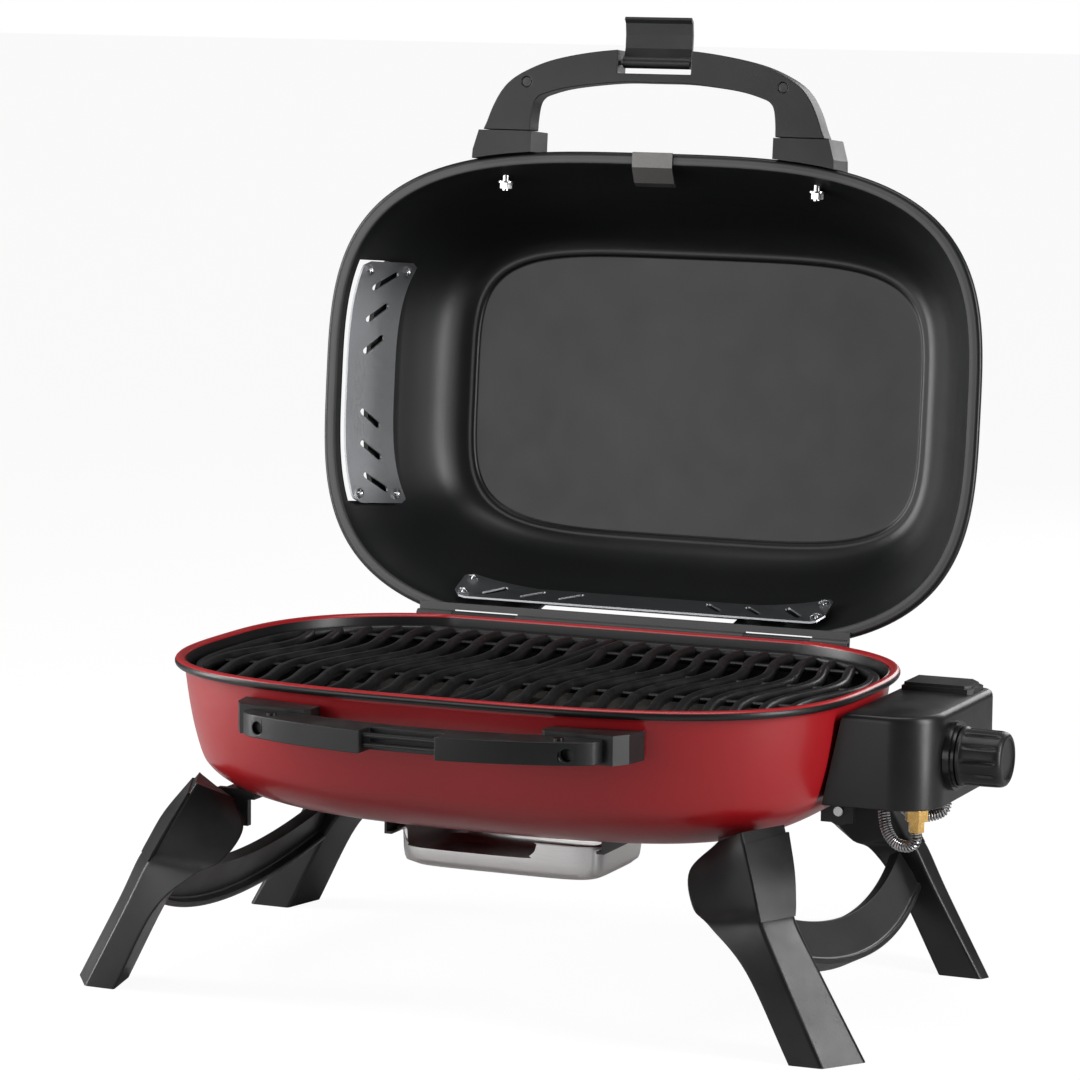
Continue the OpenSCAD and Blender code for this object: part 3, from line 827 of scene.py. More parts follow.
RED = Enamel("red enamel", "enamel_red", (0.43, 0.010, 0.015), 0.36, 0.03, 0.35, 0.16, 0.05)
SOOT = Enamel("black enamel inside", "enamel_red", (0.007, 0.0075, 0.008), 0.36, 0.02, 0.0,
              0.3, 0.06, 0.0)
BAND = Enamel("grey rim band", "flange_steel", (0.050, 0.049, 0.050), 0.38, 0.03, 0.1, 0.3, 0.1)
BLACK_STEEL = Enamel("black painted steel", "black_steel", (0.014, 0.014, 0.015), 0.42, 0.04,
                     0.1, 0.3, 0.15)
GRIP = Moulded("grained black grip", "black_plastic", (0.006, 0.0065, 0.007), 0.40, 0.045, 1.2)
LEG = Moulded("satin black leg", "black_plastic", (0.007, 0.0073, 0.008), 0.36, 0.035, 1.0,
              0.35)
BOX = Moulded("satin black box", "box_plastic", (0.006, 0.0064, 0.007), 0.34, 0.03, 0.9, 0.2)
KNOB = Moulded("black knob", "knob_plastic", (0.006, 0.0064, 0.007), 0.38, 0.04, 1.0, 0.2)
BEZEL = Moulded("gloss black bezel", "gloss_plastic", (0.008, 0.008, 0.009), 0.22, 0.01, 0.8,
                0.1)
PLATE = DrawnMetal("brushed vent plate", "brushed_steel", (0.36, 0.37, 0.385), 0.34,
                   (1500.0, 60.0, 1500.0), 0.01)
TRAY = DrawnMetal("brushed tray steel", "brushed_steel", (0.80, 0.79, 0.785), 0.34,
                  (45.0, 1400.0, 1400.0), 0.01, 0.1)
BURNER = DrawnMetal("heat-tinted burner steel", "brushed_steel", (0.42, 0.40, 0.38), 0.36,
                    (60.0, 1100.0, 1100.0), 0.02, 0.5)
# Sear plate steel: its dark base colour is painted shade for the space under the cooking grids.
SEAR_IN_PAINTED_SHADE = DrawnMetal("sear steel darkened as painted shade", "brushed_steel", (0.075, 0.07, 0.066), 0.5,
                  (60.0, 1100.0, 1100.0), 0.03, 0.6)
CLIP = DrawnMetal("satin clip steel", "brushed_steel", (0.17, 0.165, 0.16), 0.4,
                  (1500.0, 60.0, 1500.0), 0.01)
DARK_SCREW = PlatedMetal("blackened screw", "bright_steel", (0.06, 0.06, 0.062), 0.35)
BRIGHT = PlatedMetal("bright plated steel", "bright_steel", (0.72, 0.72, 0.73), 0.22)
SPRING = PlatedMetal("spring wire", "bright_steel", (0.66, 0.66, 0.67), 0.24)
BRASS = PlatedMetal("machined brass", "brass", (0.83, 0.52, 0.18), 0.22)
ALLOY = PlatedMetal("cast alloy", "cast_aluminium", (0.46, 0.46, 0.47), 0.5, 0.06)
IRON = CastIron("enamelled cast iron", "cast_iron", (0.007, 0.0073, 0.008), 0.44)
GLAZE = Enamel("white glazed insulator", "ceramic", (0.75, 0.73, 0.68), 0.3, 0.02, 0.6, 0.1,
               0.05)


# --------------------------------------------------------------- the cookbox


@dataclass
class Cookbox:
    """The pressed bowl with its rolled rim."""

    half_x: float = 290.0
    half_y: float = 205.5
    power: float = 2.94
    back: float = 185.0
    lean: float = 0.3
    count: int = 320
    drain: tuple[float, float] = (55.0, 28.0)
    outside: tuple[Row, ...] = ((165, 139), (140, 139), (120, 139.2), (100, 141), (80, 145.5),
                                (62, 151.5), (46, 159), (34, 167.3), (26, 175.5), (20.8, 185),
                                (15, 207), (11, 230), (8.2, 252), (7.6, 255))
    inside: tuple[Row, ...] = ((10.8, 252), (14, 230), (18, 207), (24, 186), (29.3, 177.3),
                               (37, 169.9), (49, 162), (64, 154.7), (81, 148.8), (100, 144.2),
                               (120, 142.2), (140, 142), (165, 142))

    def profile(self) -> tuple[list[Row], int]:
        """Lists the rows from the outer floor over the rim to the inner floor.

        Returns:
            The rows, and the number of the row where red ends.
        """
        bead = arc((4.2, 260.7), 4.0, 235, -55, 14)
        skirt = smooth_line(self.outside, 4)
        rolled = [(8.4 - x, z) for x, z in bead]
        rows = skirt + rolled + [(9.2, 262.2), (10.2, 259)] + smooth_line(self.inside, 4)
        return rows, len(skirt) + 9

    def ring(self, row: Row) -> Ring:
        """One ring of the bowl at an inset and height."""
        shape = outline(self.half_x - row[0], self.half_y - row[0], self.power,
                        self.back - self.lean * row[0], self.count)
        return [(x, y, row[1]) for x, y in shape]

    def build(self) -> None:
        """Makes the bowl with its holes and dresses the grid rests."""
        rows, edge = self.profile()
        coats = [0 if i < edge else 1 for i in range(len(rows) - 1)]
        holes = Form().prism(arc_box(0, -24, *self.drain, 12), 120, 160)
        line_holes(holes, 250, 300)
        Form().loft([self.ring(r) for r in rows], coats).piece(
            "cookbox_shell", "base", (RED, SOOT), stands_for=("cookbox",), cuts=holes)
        dress("grid_rests", BLACK_STEEL, 0.6)


def arc_box(x: float, y: float, half_x: float, half_y: float, radius: float) -> list[Row]:
    """Rectangle with round corners.

    Args:
        x: Its middle across.
        y: Its middle in depth.
        half_x: Half width.
        half_y: Half depth.
        radius: Corner radius.

    Returns:
        The outline, counter-clockwise.
    """
    out = []
    for sx, sy, start in ((1, 1, 0), (-1, 1, 90), (-1, -1, 180), (1, -1, 270)):
        corner = (x + sx * (half_x - radius), y + sy * (half_y - radius))
        out += arc(corner, radius, start, start + 90, 8)
    return out


def line_holes(form: Form, inner: float, outer: float) -> None:
    """Adds the two holes that the gas lines pass through.

    Args:
        form: The cutter.
        inner: Where the holes start, across the grill.
        outer: Where they end.
    """
    for y in LINE_HOLES_Y:
        form.tube([(inner, y, LINE_HOLES_Z), (outer, y, LINE_HOLES_Z)], LINE_HOLE_R, 24)


def dress(node: str, finish: Finish, edge: float = 0.0, sharp: float = 30.0) -> None:
    """Gives a CAD piece its finish and rounded edges.

    Args:
        node: The CAD node's name.
        finish: Its finish.
        edge: Width of the rounding in millimetres.
        sharp: Angle above which an edge is rounded, in degrees.
    """
    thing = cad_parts[node]
    thing.data.materials.clear()
    thing.data.materials.append(finish.material())
    if edge:
        soften(thing, edge, sharp)
    LOG.info("%s: dressed in %s", node, finish.title)


# ------------------------------------------------------------------- the lid


@dataclass
class Lid:
    """The pressed lid with its rim band, embossed panel and vent openings."""

    half_x: float = 300.5
    half_y: float = 208.5
    power: float = 3.3
    count: int = 320
    rear: tuple[Row, ...] = ((0, 192), (10, 188), (41, 171), (89, 126), (93, 122), (140, 75))
    gain: tuple[Row, ...] = ((0, 0), (41, 2.5), (89, 5), (140, 5))
    square: tuple[Row, ...] = ((0, 0), (41, 0.1), (60, 0.5), (89, 1.3), (140, 1.3))
    outside: tuple[Row, ...] = ((130, 393), (110, 393), (98, 392.8), (94.5, 392.2), (91, 391),
                                (82, 389.5), (72, 384), (60, 371), (49, 353.3), (39.5, 335),
                                (37.5, 331.5), (22, 298), (9.6, 275.6), (7, 273.2))
    inside: tuple[Row, ...] = ((11.6, 270.5), (26, 298), (40.2, 330), (41.8, 333.4),
                               (52, 352), (63, 369), (75, 381), (84, 386.4), (88.5, 387.3),
                               (90.6, 388.2), (92, 389.6), (95, 390), (112, 390.2), (130, 390.2))
    left_vent: tuple[Row, Row] = ((-330, -108, 273.7), (-255, 104, 300))
    rear_vent: tuple[Row, Row] = ((-90, 150, 273.7), (90, 220, 289))
    bolt_x: float = 143.0
    bolt_z: float = 284.0

    def back(self, inset: float) -> float:
        """Where the outline is cut flat at an inset."""
        return looked_up(self.rear, inset)

    def ring(self, row: Row) -> Ring:
        """One ring of the lid at an inset and height."""
        deep = self.half_y - row[0] + looked_up(self.gain, row[0])
        shape = outline(self.half_x - row[0], deep, self.power + looked_up(self.square, row[0]),
                        self.back(row[0]), self.count)
        return [(x, y, row[1]) for x, y in shape]

    def wall(self, along: float, height: float, off: float, rear: bool = False) -> Row:
        """A point off the lid's inner wall.

        Args:
            along: Distance from the middle along the wall.
            height: Height with the lid shut.
            off: Distance inwards from the wall.
            rear: Whether the wall is the rear one, and not the left one.

        Returns:
            The point.
        """
        inset = looked_up(((267, 10.5), (298, 26), (332, 41), (352, 52), (369, 63)), height)
        half_x, half_y = self.half_x - inset - off, self.half_y - inset - off
        if rear:
            y = half_y * max(0.0, 1 - abs(along / half_x) ** self.power) ** (1 / self.power)
            return (along, min(self.back(inset) - off, y), height)
        x = half_x * max(0.0, 1 - abs(along / half_y) ** self.power) ** (1 / self.power)
        return (-x, along, height)

    def build(self) -> None:
        """Makes the shell with its vent openings, bolt holes and rim band."""
        bead = [(6.4 - x, z) for x, z in arc((3.2, 269.9), 3.2, 125, -82, 14)]
        band = [(3.9, 266.8), (6.2, 266.6), (9.4, 266.6), (10.3, 266.9), (10.9, 268.4)]
        skirt = smooth_line(self.outside, 4)
        rows = skirt + bead + band + smooth_line(self.inside, 4)
        red, dark = len(skirt) + 6, len(skirt) + len(bead)
        bare = dark + len(band) - 1
        coats = [0 if i < red else 1 if i < dark else 2 if i < bare else 1
                 for i in range(len(rows) - 1)]
        cuts = Form().block(*self.left_vent, 1).block(*self.rear_vent, 1)
        for x in (-self.bolt_x, self.bolt_x):
            cuts.tube([(x, -200, self.bolt_z), (x, -170, self.bolt_z)], 3.2, 20)
        Form().loft([self.ring(r) for r in rows], coats).piece(
            "lid_shell_pressed", "lid", (RED, SOOT, BAND), Place.SHUT_LID,
            ("lid_shell", "lid_rim_band"), cuts=cuts)


def looked_up(table: Sequence[Row], at: float) -> float:
    """A value between the rows of a table.

    Args:
        table: Rows of key and value, in rising order.
        at: The key looked for.

    Returns:
        The value there.
    """
    for (a, low), (b, high) in zip(table, table[1:]):
        if at <= b:
            return low + (high - low) * (at - a) / (b - a)
    return table[-1][1]


@dataclass
class VentPlates:
    """The two slotted sheet plates inside the lid, with their screws."""

    lid: Lid
    sheet: float = 1.6
    off: float = 5.0
    side_span: tuple[float, float] = (-107.0, 105.0)
    side_rows: tuple[float, float] = (271.5, 320.0)
    rear_half: float = 171.0
    rear_rows: tuple[float, float] = (271.5, 303.0)
    corner: float = 6.0
    slot_half: float = 9.5
    slot_radius: float = 2.7

    def sheet_form(self, span: tuple[float, float], rows: tuple[float, float], rear: bool
                   ) -> Form:
        """Bends a sheet along the wall.

        Args:
            span: Its two ends along the wall.
            rows: Its lower and upper edge.
            rear: Whether it follows the rear wall, and not the left one.

        Returns:
            The sheet.
        """
        rings, count = [], 60
        for i in range(count + 1):
            along = span[0] + (span[1] - span[0]) * i / count
            end = min(i, count - i) * (span[1] - span[0]) / count
            short = max(0.0, self.corner - end)
            cut = self.corner - math.sqrt(max(0.0, self.corner**2 - short**2))
            low, high = rows[0] + cut, rows[1] - cut
            heights = [low + (high - low) * k / 8 for k in range(9)]
            front = [self.lid.wall(along, z, self.off + self.sheet, rear) for z in heights]
            hind = [self.lid.wall(along, z, self.off, rear) for z in reversed(heights)]
            rings.append(front + hind)
        return Form().loft(rings)

    def slot(self, form: Form, along: float, height: float, lean: float, rear: bool) -> None:
        """Adds one round-ended slot to a cutter.

        Args:
            form: The cutter.
            along: The slot's middle along the wall.
            height: The slot's middle in height.
            lean: How far it leans from upright, in degrees.
            rear: Whether it is in the rear plate, and not the left one.
        """
        turn = math.radians(lean)
        u, v = (math.sin(turn), math.cos(turn)), (math.cos(turn), -math.sin(turn))
        rim = arc((0, self.slot_half), self.slot_radius, 0, 180, 8)
        rim += arc((0, -self.slot_half), self.slot_radius, 180, 360, 8)
        flat = [(along + b * u[0] + a * v[0], height + b * u[1] + a * v[1]) for a, b in rim]
        depths = (130, 205) if rear else (-310, -235)
        form.loft([[(s, d, z) if rear else (d, s, z) for s, z in flat] for d in depths])

    def build(self) -> None:
        """Makes both plates and their screws."""
        side, rear = Form(), Form()
        for k in range(3):
            self.slot(side, -90 + 28 * k, 296, -38, False)
            self.slot(side, 87 - 28 * k, 296, 38, False)
            self.slot(rear, -138 + 36 * k, 288, 48, True)
            self.slot(rear, 138 - 36 * k, 288, -48, True)
        self.sheet_form(self.side_span, self.side_rows, False).piece(
            "vent_plate_side", "lid", (PLATE,), Place.SHUT_LID, ("vent_plate_left",), 0.5,
            cuts=side)
        self.sheet_form((-self.rear_half, self.rear_half), self.rear_rows, True).piece(
            "vent_plate_hind", "lid", (PLATE,), Place.SHUT_LID, ("vent_plate_rear",), 0.5,
            cuts=rear)
        nuts = Form()
        for along in (-99.0, 97.0):
            for z in (278.5, 313.0):
                self.nut(nuts, self.lid.wall(along, z, self.off + self.sheet), (1, 0, 0.45))
        for along in (-163.0, 163.0):
            for z in (277.5, 297.0):
                spot = self.lid.wall(along, z, self.off + self.sheet, True)
                self.nut(nuts, spot, (-0.35 * math.copysign(1, along), -1, 0.45))
        nuts.piece("vent_nuts", "lid", (BRIGHT,), Place.SHUT_LID, ("vent_screws",), 0.35)

    def nut(self, form: Form, at: Row, out: Row) -> None:
        """One domed screw head with its washer, pointing into the lid."""
        spot, way = Vector(at), Vector(out).normalized()
        end = spot + way
        form.turned(spot, end, [(-5.2, 1.6), (-0.1, 1.7), (0, 5.2), (0.7, 5.2), (0.8, 3.6),
                                (2.2, 3.3), (3.0, 2.4), (3.2, 1.2), (2.4, 0.9)], 20)


# ------------------------------------------------------------- cooking grids


@dataclass
class CookingGrids:
    """Two cast grids of wavy bars inside a rounded frame."""

    half_x: float = 275.5
    half_y: float = 190.5
    power: float = 2.94
    back: float = 172.0
    low: float = 248.5
    high: float = 256.5
    pitch: float = 22.0
    wave: float = 9.0
    period: float = 198.0
    width: float = 8.0
    inset: float = 4.0
    gap: float = 4.8
    bars: int = 12
    cross_bars: tuple[float, ...] = (-135.0, -45.0, 45.0, 130.0)

    def section(self, wide: float, low: float, high: float) -> list[Row]:
        """Shapes a cast section, rounder at the top.

        Args:
            wide: The bar's width.
            low: Its underside.
            high: Its top.

        Returns:
            Offsets to the side and heights.
        """
        half = wide / 2
        return [(-half + 0.9, low), (half - 0.9, low), (half - 0.2, low + 0.8),
                (half, low + 3.4), (half - 0.3, high - 2.2), (half - 1.2, high - 0.7),
                (half - 2.4, high), (-half + 2.4, high), (-half + 1.2, high - 0.7),
                (-half + 0.3, high - 2.2), (-half, low + 3.4), (-half + 0.2, low + 0.8)]

    def reach(self, x: float) -> tuple[float, float]:
        """Front and rear end of a bar at a distance from the middle."""
        widest = self.half_x - self.inset
        share = max(0.0, 1 - (min(abs(x), widest - 2) / widest) ** self.power)
        depth = (self.half_y - self.inset) * share ** (1 / self.power)
        return -depth, min(self.back - self.inset, depth)

    def half(self, side: int) -> Form:
        """Casts the left or right grid.

        Args:
            side: -1 for the left grid, 1 for the right one.

        Returns:
            The grid.
        """
        form = Form()
        rim = outline(self.half_x - self.inset, self.half_y - self.inset, self.power,
                      self.back - self.inset, 400)
        loop = [p for p in rim if p[0] * side > self.gap]
        loop.sort(key=lambda p: math.atan2(p[1], p[0] * side))
        front, hind = self.reach(self.gap)
        middle = self.gap * side
        loop = [(middle, front)] + loop + [(middle, hind)]
        loop += [(middle, hind + (front - hind) * k / 40) for k in range(1, 40)]
        form.rail([(x, y, 0) for x, y in loop], self.section(self.width, self.low, self.high),
                  closed=True)
        for k in range(1, self.bars + 1):
            x0 = side * (k - 0.45) * self.pitch
            front, hind = self.reach(x0)
            spots = [front + (hind - front) * i / 70 for i in range(71)]
            path = [(x0 + self.wave * math.sin(2 * math.pi * y / self.period), y, 0)
                    for y in spots]
            path = [p for p in path if self.inside(p[0], p[1]) and p[0] * side > self.gap]
            if len(path) > 3:
                form.rail(path, self.section(self.width, self.low, self.high - 0.02 * k))
        for y in self.cross_bars:
            reach = self.half_x * (1 - (abs(y) / self.half_y) ** self.power) ** (1 / self.power)
            form.rail([(2.6 * side, y, 0), ((reach - 5) * side, y, 0)],
                      self.section(6, self.low - 1, self.low + 4))
        return form

    def inside(self, x: float, y: float) -> bool:
        """Whether a point lies inside the frame's centre line."""
        half_x, half_y = self.half_x - 3, self.half_y - 3
        return (abs(x) / half_x) ** self.power + (abs(y) / half_y) ** self.power <= 1

    def build(self) -> None:
        """Makes both grids."""
        self.half(-1).piece("grid_cast_left", "left_grid", (IRON,), stands_for=("grid_left",))
        self.half(1).piece("grid_cast_right", "right_grid", (IRON,), stands_for=("grid_right",))


# ------------------------------------------------------- gas train and knob


@dataclass
class GasLine:
    """A soft metal line in a coiled wire guard."""

    name: str
    route: tuple[Row, ...]
    core: float = 3.5
    wire: float = 0.85
    coil: float = 4.1
    pitch: float = 2.15

    def helix(self, path: Sequence[Row]) -> list[Row]:
        """Winds the coil's centre line round a path.

        Args:
            path: The line that it is wound round.

        Returns:
            The coil's points.
        """
        line = [Vector(p) for p in path]
        out, turned, side = [], 0.0, Vector((0, 1, 0))
        for a, b in zip(line, line[1:]):
            along = (b - a).normalized()
            side = (side - along * side.dot(along)).normalized()
            up = along.cross(side)
            length = (b - a).length
            steps = max(2, round(length / self.pitch * 12))
            for k in range(steps):
                angle = turned + 2 * math.pi * (length * k / steps) / self.pitch
                spot = a + along * (length * k / steps)
                out.append(tuple(spot + self.coil * (math.cos(angle) * side
                                                     + math.sin(angle) * up)))
            turned += 2 * math.pi * length / self.pitch
        return out

    def build(self) -> None:
        """Makes the line."""
        path = smooth_line(self.route, 6)
        form = Form().tube(path, self.core, 16, 1)
        form.tube(self.helix(path), self.wire, 6, 0)
        form.piece(self.name + "_coiled", "base", (SPRING, BLACK_STEEL), stands_for=(self.name,))


@dataclass
class Knob:
    """The burner knob with its grip flutes."""

    base: float = 365.6
    y: float = -4.0
    z: float = 215.5
    flutes: int = 12

    def build(self) -> None:
        """Makes the knob."""
        rows = [(0, 17.5, 0), (0, 23.1, 0), (0.5, 23.5, 0), (2.6, 23.5, 0), (3.2, 23.0, 0),
                (4.6, 22.7, 0), (6.5, 22.5, 1.5), (18, 22.4, 1.7), (29, 22.2, 1.6),
                (31.6, 22.0, 0.5), (33.4, 21.6, 0), (35.2, 20.6, 0), (36.2, 19.2, 0),
                (36.5, 17.6, 0), (36.2, 16.6, 0), (35.1, 16.1, 0), (34.8, 15.4, 0),
                (34.7, 8, 0), (34.6, 0.4, 0)]
        count, rings = self.flutes * 16, []
        for d, r, depth in rows:
            ring = []
            for i in range(count):
                t = 2 * math.pi * i / count
                dip = max(0.0, math.cos(self.flutes * t)) ** 3
                ring.append((self.base + d, self.y + (r - depth * dip) * math.cos(t),
                             self.z + (r - depth * dip) * math.sin(t)))
            rings.append(ring)
        Form().loft(rings).piece("knob_fluted", "knob", (KNOB,), stands_for=("control_knob",))


# ------------------------------------------------------ handles and gas box


@dataclass
class Handles:
    """Moulded grips of the cookbox and the lid."""

    low: float = 228.0
    height: float = 18.0
    lid_low: float = 259.5
    lid_height: float = 19.0
    recess: float = 31.5
    screw_x: float = 130.0
    lid_recess: float = 33.5
    lid_screw_x: float = 117.0
    arch_out: tuple[Row, ...] = ((0, -296), (33, -295), (66, -291), (96, -284.4), (118, -275.6),
                                 (132, -267), (141, -257), (148, -244), (153, -231),
                                 (156, -224.5))
    arch_in: tuple[Row, ...] = ((112, -224.5), (111.5, -235), (110, -246), (107, -252),
                                (100, -256), (77, -262), (34, -267), (0, -267.5))

    def base(self) -> None:
        """The front grip, with the recess that the latch hooks into."""
        outer = bowed(138, -240, 27.5, 40) + [(147, -233), (150, -227), (150, -218.5)]
        outer = [(-150, -218.5), (-150, -227), (-147, -233)] + outer
        inner = [(-x, y) for x, y in bowed(104, -219, 13, 30)]
        shape = outer + [(112, -218.5)] + inner + [(-112, -218.5)]
        cuts = Form().block((-self.recess, -280, self.low - 1),
                            (self.recess, -247, self.low + 20))
        for x in (-self.screw_x, self.screw_x):
            cuts.tube([(x, -262, self.low + 8), (x, -236, self.low + 8)], 5.0, 28)
        Form().prism(shape, self.low, self.low + self.height).piece(
            "base_grip_moulded", "base", (GRIP,), stands_for=("base_grip",), edge=2.4,
            cuts=cuts)

    def arch(self) -> None:
        """The arched grip on the lid, with the latch's recess and two screw wells."""
        right = smooth_line(self.arch_out, 5)
        inner = smooth_line(self.arch_in, 5)
        outer = [(-x, y) for x, y in reversed(right[1:])] + right
        under = inner + [(-x, y) for x, y in reversed(inner[:-1])]
        low, high = self.lid_low, self.lid_low + self.lid_height
        cuts = Form().block((-self.lid_recess, -300, low - 1), (self.lid_recess, -275, high + 1))
        for x in (-self.lid_screw_x, self.lid_screw_x):
            cuts.tube([(x, -266, low - 1), (x, -266, low + 2)], 4.5, 28)
        Form().prism(outer + under, low, high).piece(
            "lid_grip_moulded", "lid", (GRIP,), Place.SHUT_LID, ("lid_grip",), 1.8, cuts=cuts)

    def build(self) -> None:
        """Makes both grips."""
        self.base()
        self.arch()


@dataclass
class ControlBox:
    """Hollow moulded housing beside the cookbox, open below."""

    outer_x: float = 357.0
    front: float = -60.0
    rear: float = 108.0
    low: float = 178.0
    top: float = 252.0
    corner: float = 36.0
    rear_corner: float = 14.0
    wall_low: tuple[float, float] = (268.0, 174.0)
    wall_run: float = 20.0
    wall_rise: float = 92.0

    def ring(self, inset: float, z: float) -> Ring:
        """Draws one ring of the housing, leaning with the cookbox wall on its inner side.

        Args:
            inset: Distance inside the outer face.
            z: The ring's height.

        Returns:
            The ring.
        """
        x, low = self.wall_low
        inner = x + self.wall_run * (z - low) / self.wall_rise + inset
        a = (self.outer_x - self.corner, self.front + self.corner)
        b = (self.outer_x - self.rear_corner, self.rear - self.rear_corner)
        shape = [(inner, self.front + inset)] + arc(a, self.corner - inset, -90, 0, 24)
        shape += arc(b, self.rear_corner - inset, 0, 90, 14) + [(inner, self.rear - inset)]
        return [(x, y, z) for x, y in shape]

    def build(self) -> None:
        """Makes the housing."""
        rows = [(3, self.top - 6), (3, self.low + 0.6), (2.4, self.low), (0.7, self.low),
                (0, self.low + 0.8), (0, self.top - 6), (0.3, self.top - 3.6),
                (1.2, self.top - 1.6), (2.7, self.top - 0.4), (4.4, self.top)]
        cuts = Form().tube([(340, -4, 215.5), (362, -4, 215.5)], 12.0, 40)
        line_holes(cuts, 262, 290)
        Form().loft([self.ring(*row) for row in rows]).piece(
            "control_box_moulded", "base", (BOX,), stands_for=("control_box",), cuts=cuts)


# ---------------------------------------------------------------- drip tray


@dataclass
class DripTray:
    """Pressed steel tray with a finger scoop in its front wall."""

    half_x: float = 92.0
    half_y: float = 60.0
    middle: float = -24.0
    top: float = 133.0
    depth: float = 32.0

    def build(self) -> None:
        """Makes the tray with its scoop."""
        t, h = self.top, self.depth
        rows = [(30, t - h), (14, t - h), (11, t - h + 0.4), (8.5, t - h + 1.7),
                (6.6, t - h + 4), (5.6, t - h + 7), (4.8, t - 18), (4.3, t - 3.4),
                (3.6, t - 2.8), (0.6, t - 2.7), (0.1, t - 2.3), (0.0, t - 1.8),
                (0.6, t - 1.3), (4.6, t - 1.25), (5.4, t - 1.7), (5.7, t - 4), (6.1, t - 18),
                (7, t - h + 8), (8.0, t - h + 5), (10, t - h + 2.9), (12.4, t - h + 1.7),
                (15, t - h + 1.4), (30, t - h + 1.4)]
        rings = []
        for inset, z in rows:
            power = 9.0 if inset < 8 else 6.0
            shape = outline(self.half_x - inset, self.half_y - inset, power, 200, 220)
            rings.append([(x, y + self.middle, z) for x, y in shape])
        scoop = [(-84, 4), (-82, -8), (-78, -13), (-69, -16), (22, -16), (30, -13.5),
                 (35, -8), (37, 4)]
        line = [(x, z + t) for x, z in smooth_line(scoop, 6)]
        front = self.middle - self.half_y
        cut = Form().loft([[(x, y, z) for x, z in line] for y in (front - 4, front + 10)])
        Form().loft(rings).piece("tray_pressed", "tray", (TRAY,), stands_for=("drip_tray",),
                                 cuts=cut)


# --------------------------------------------------------------- leg frames


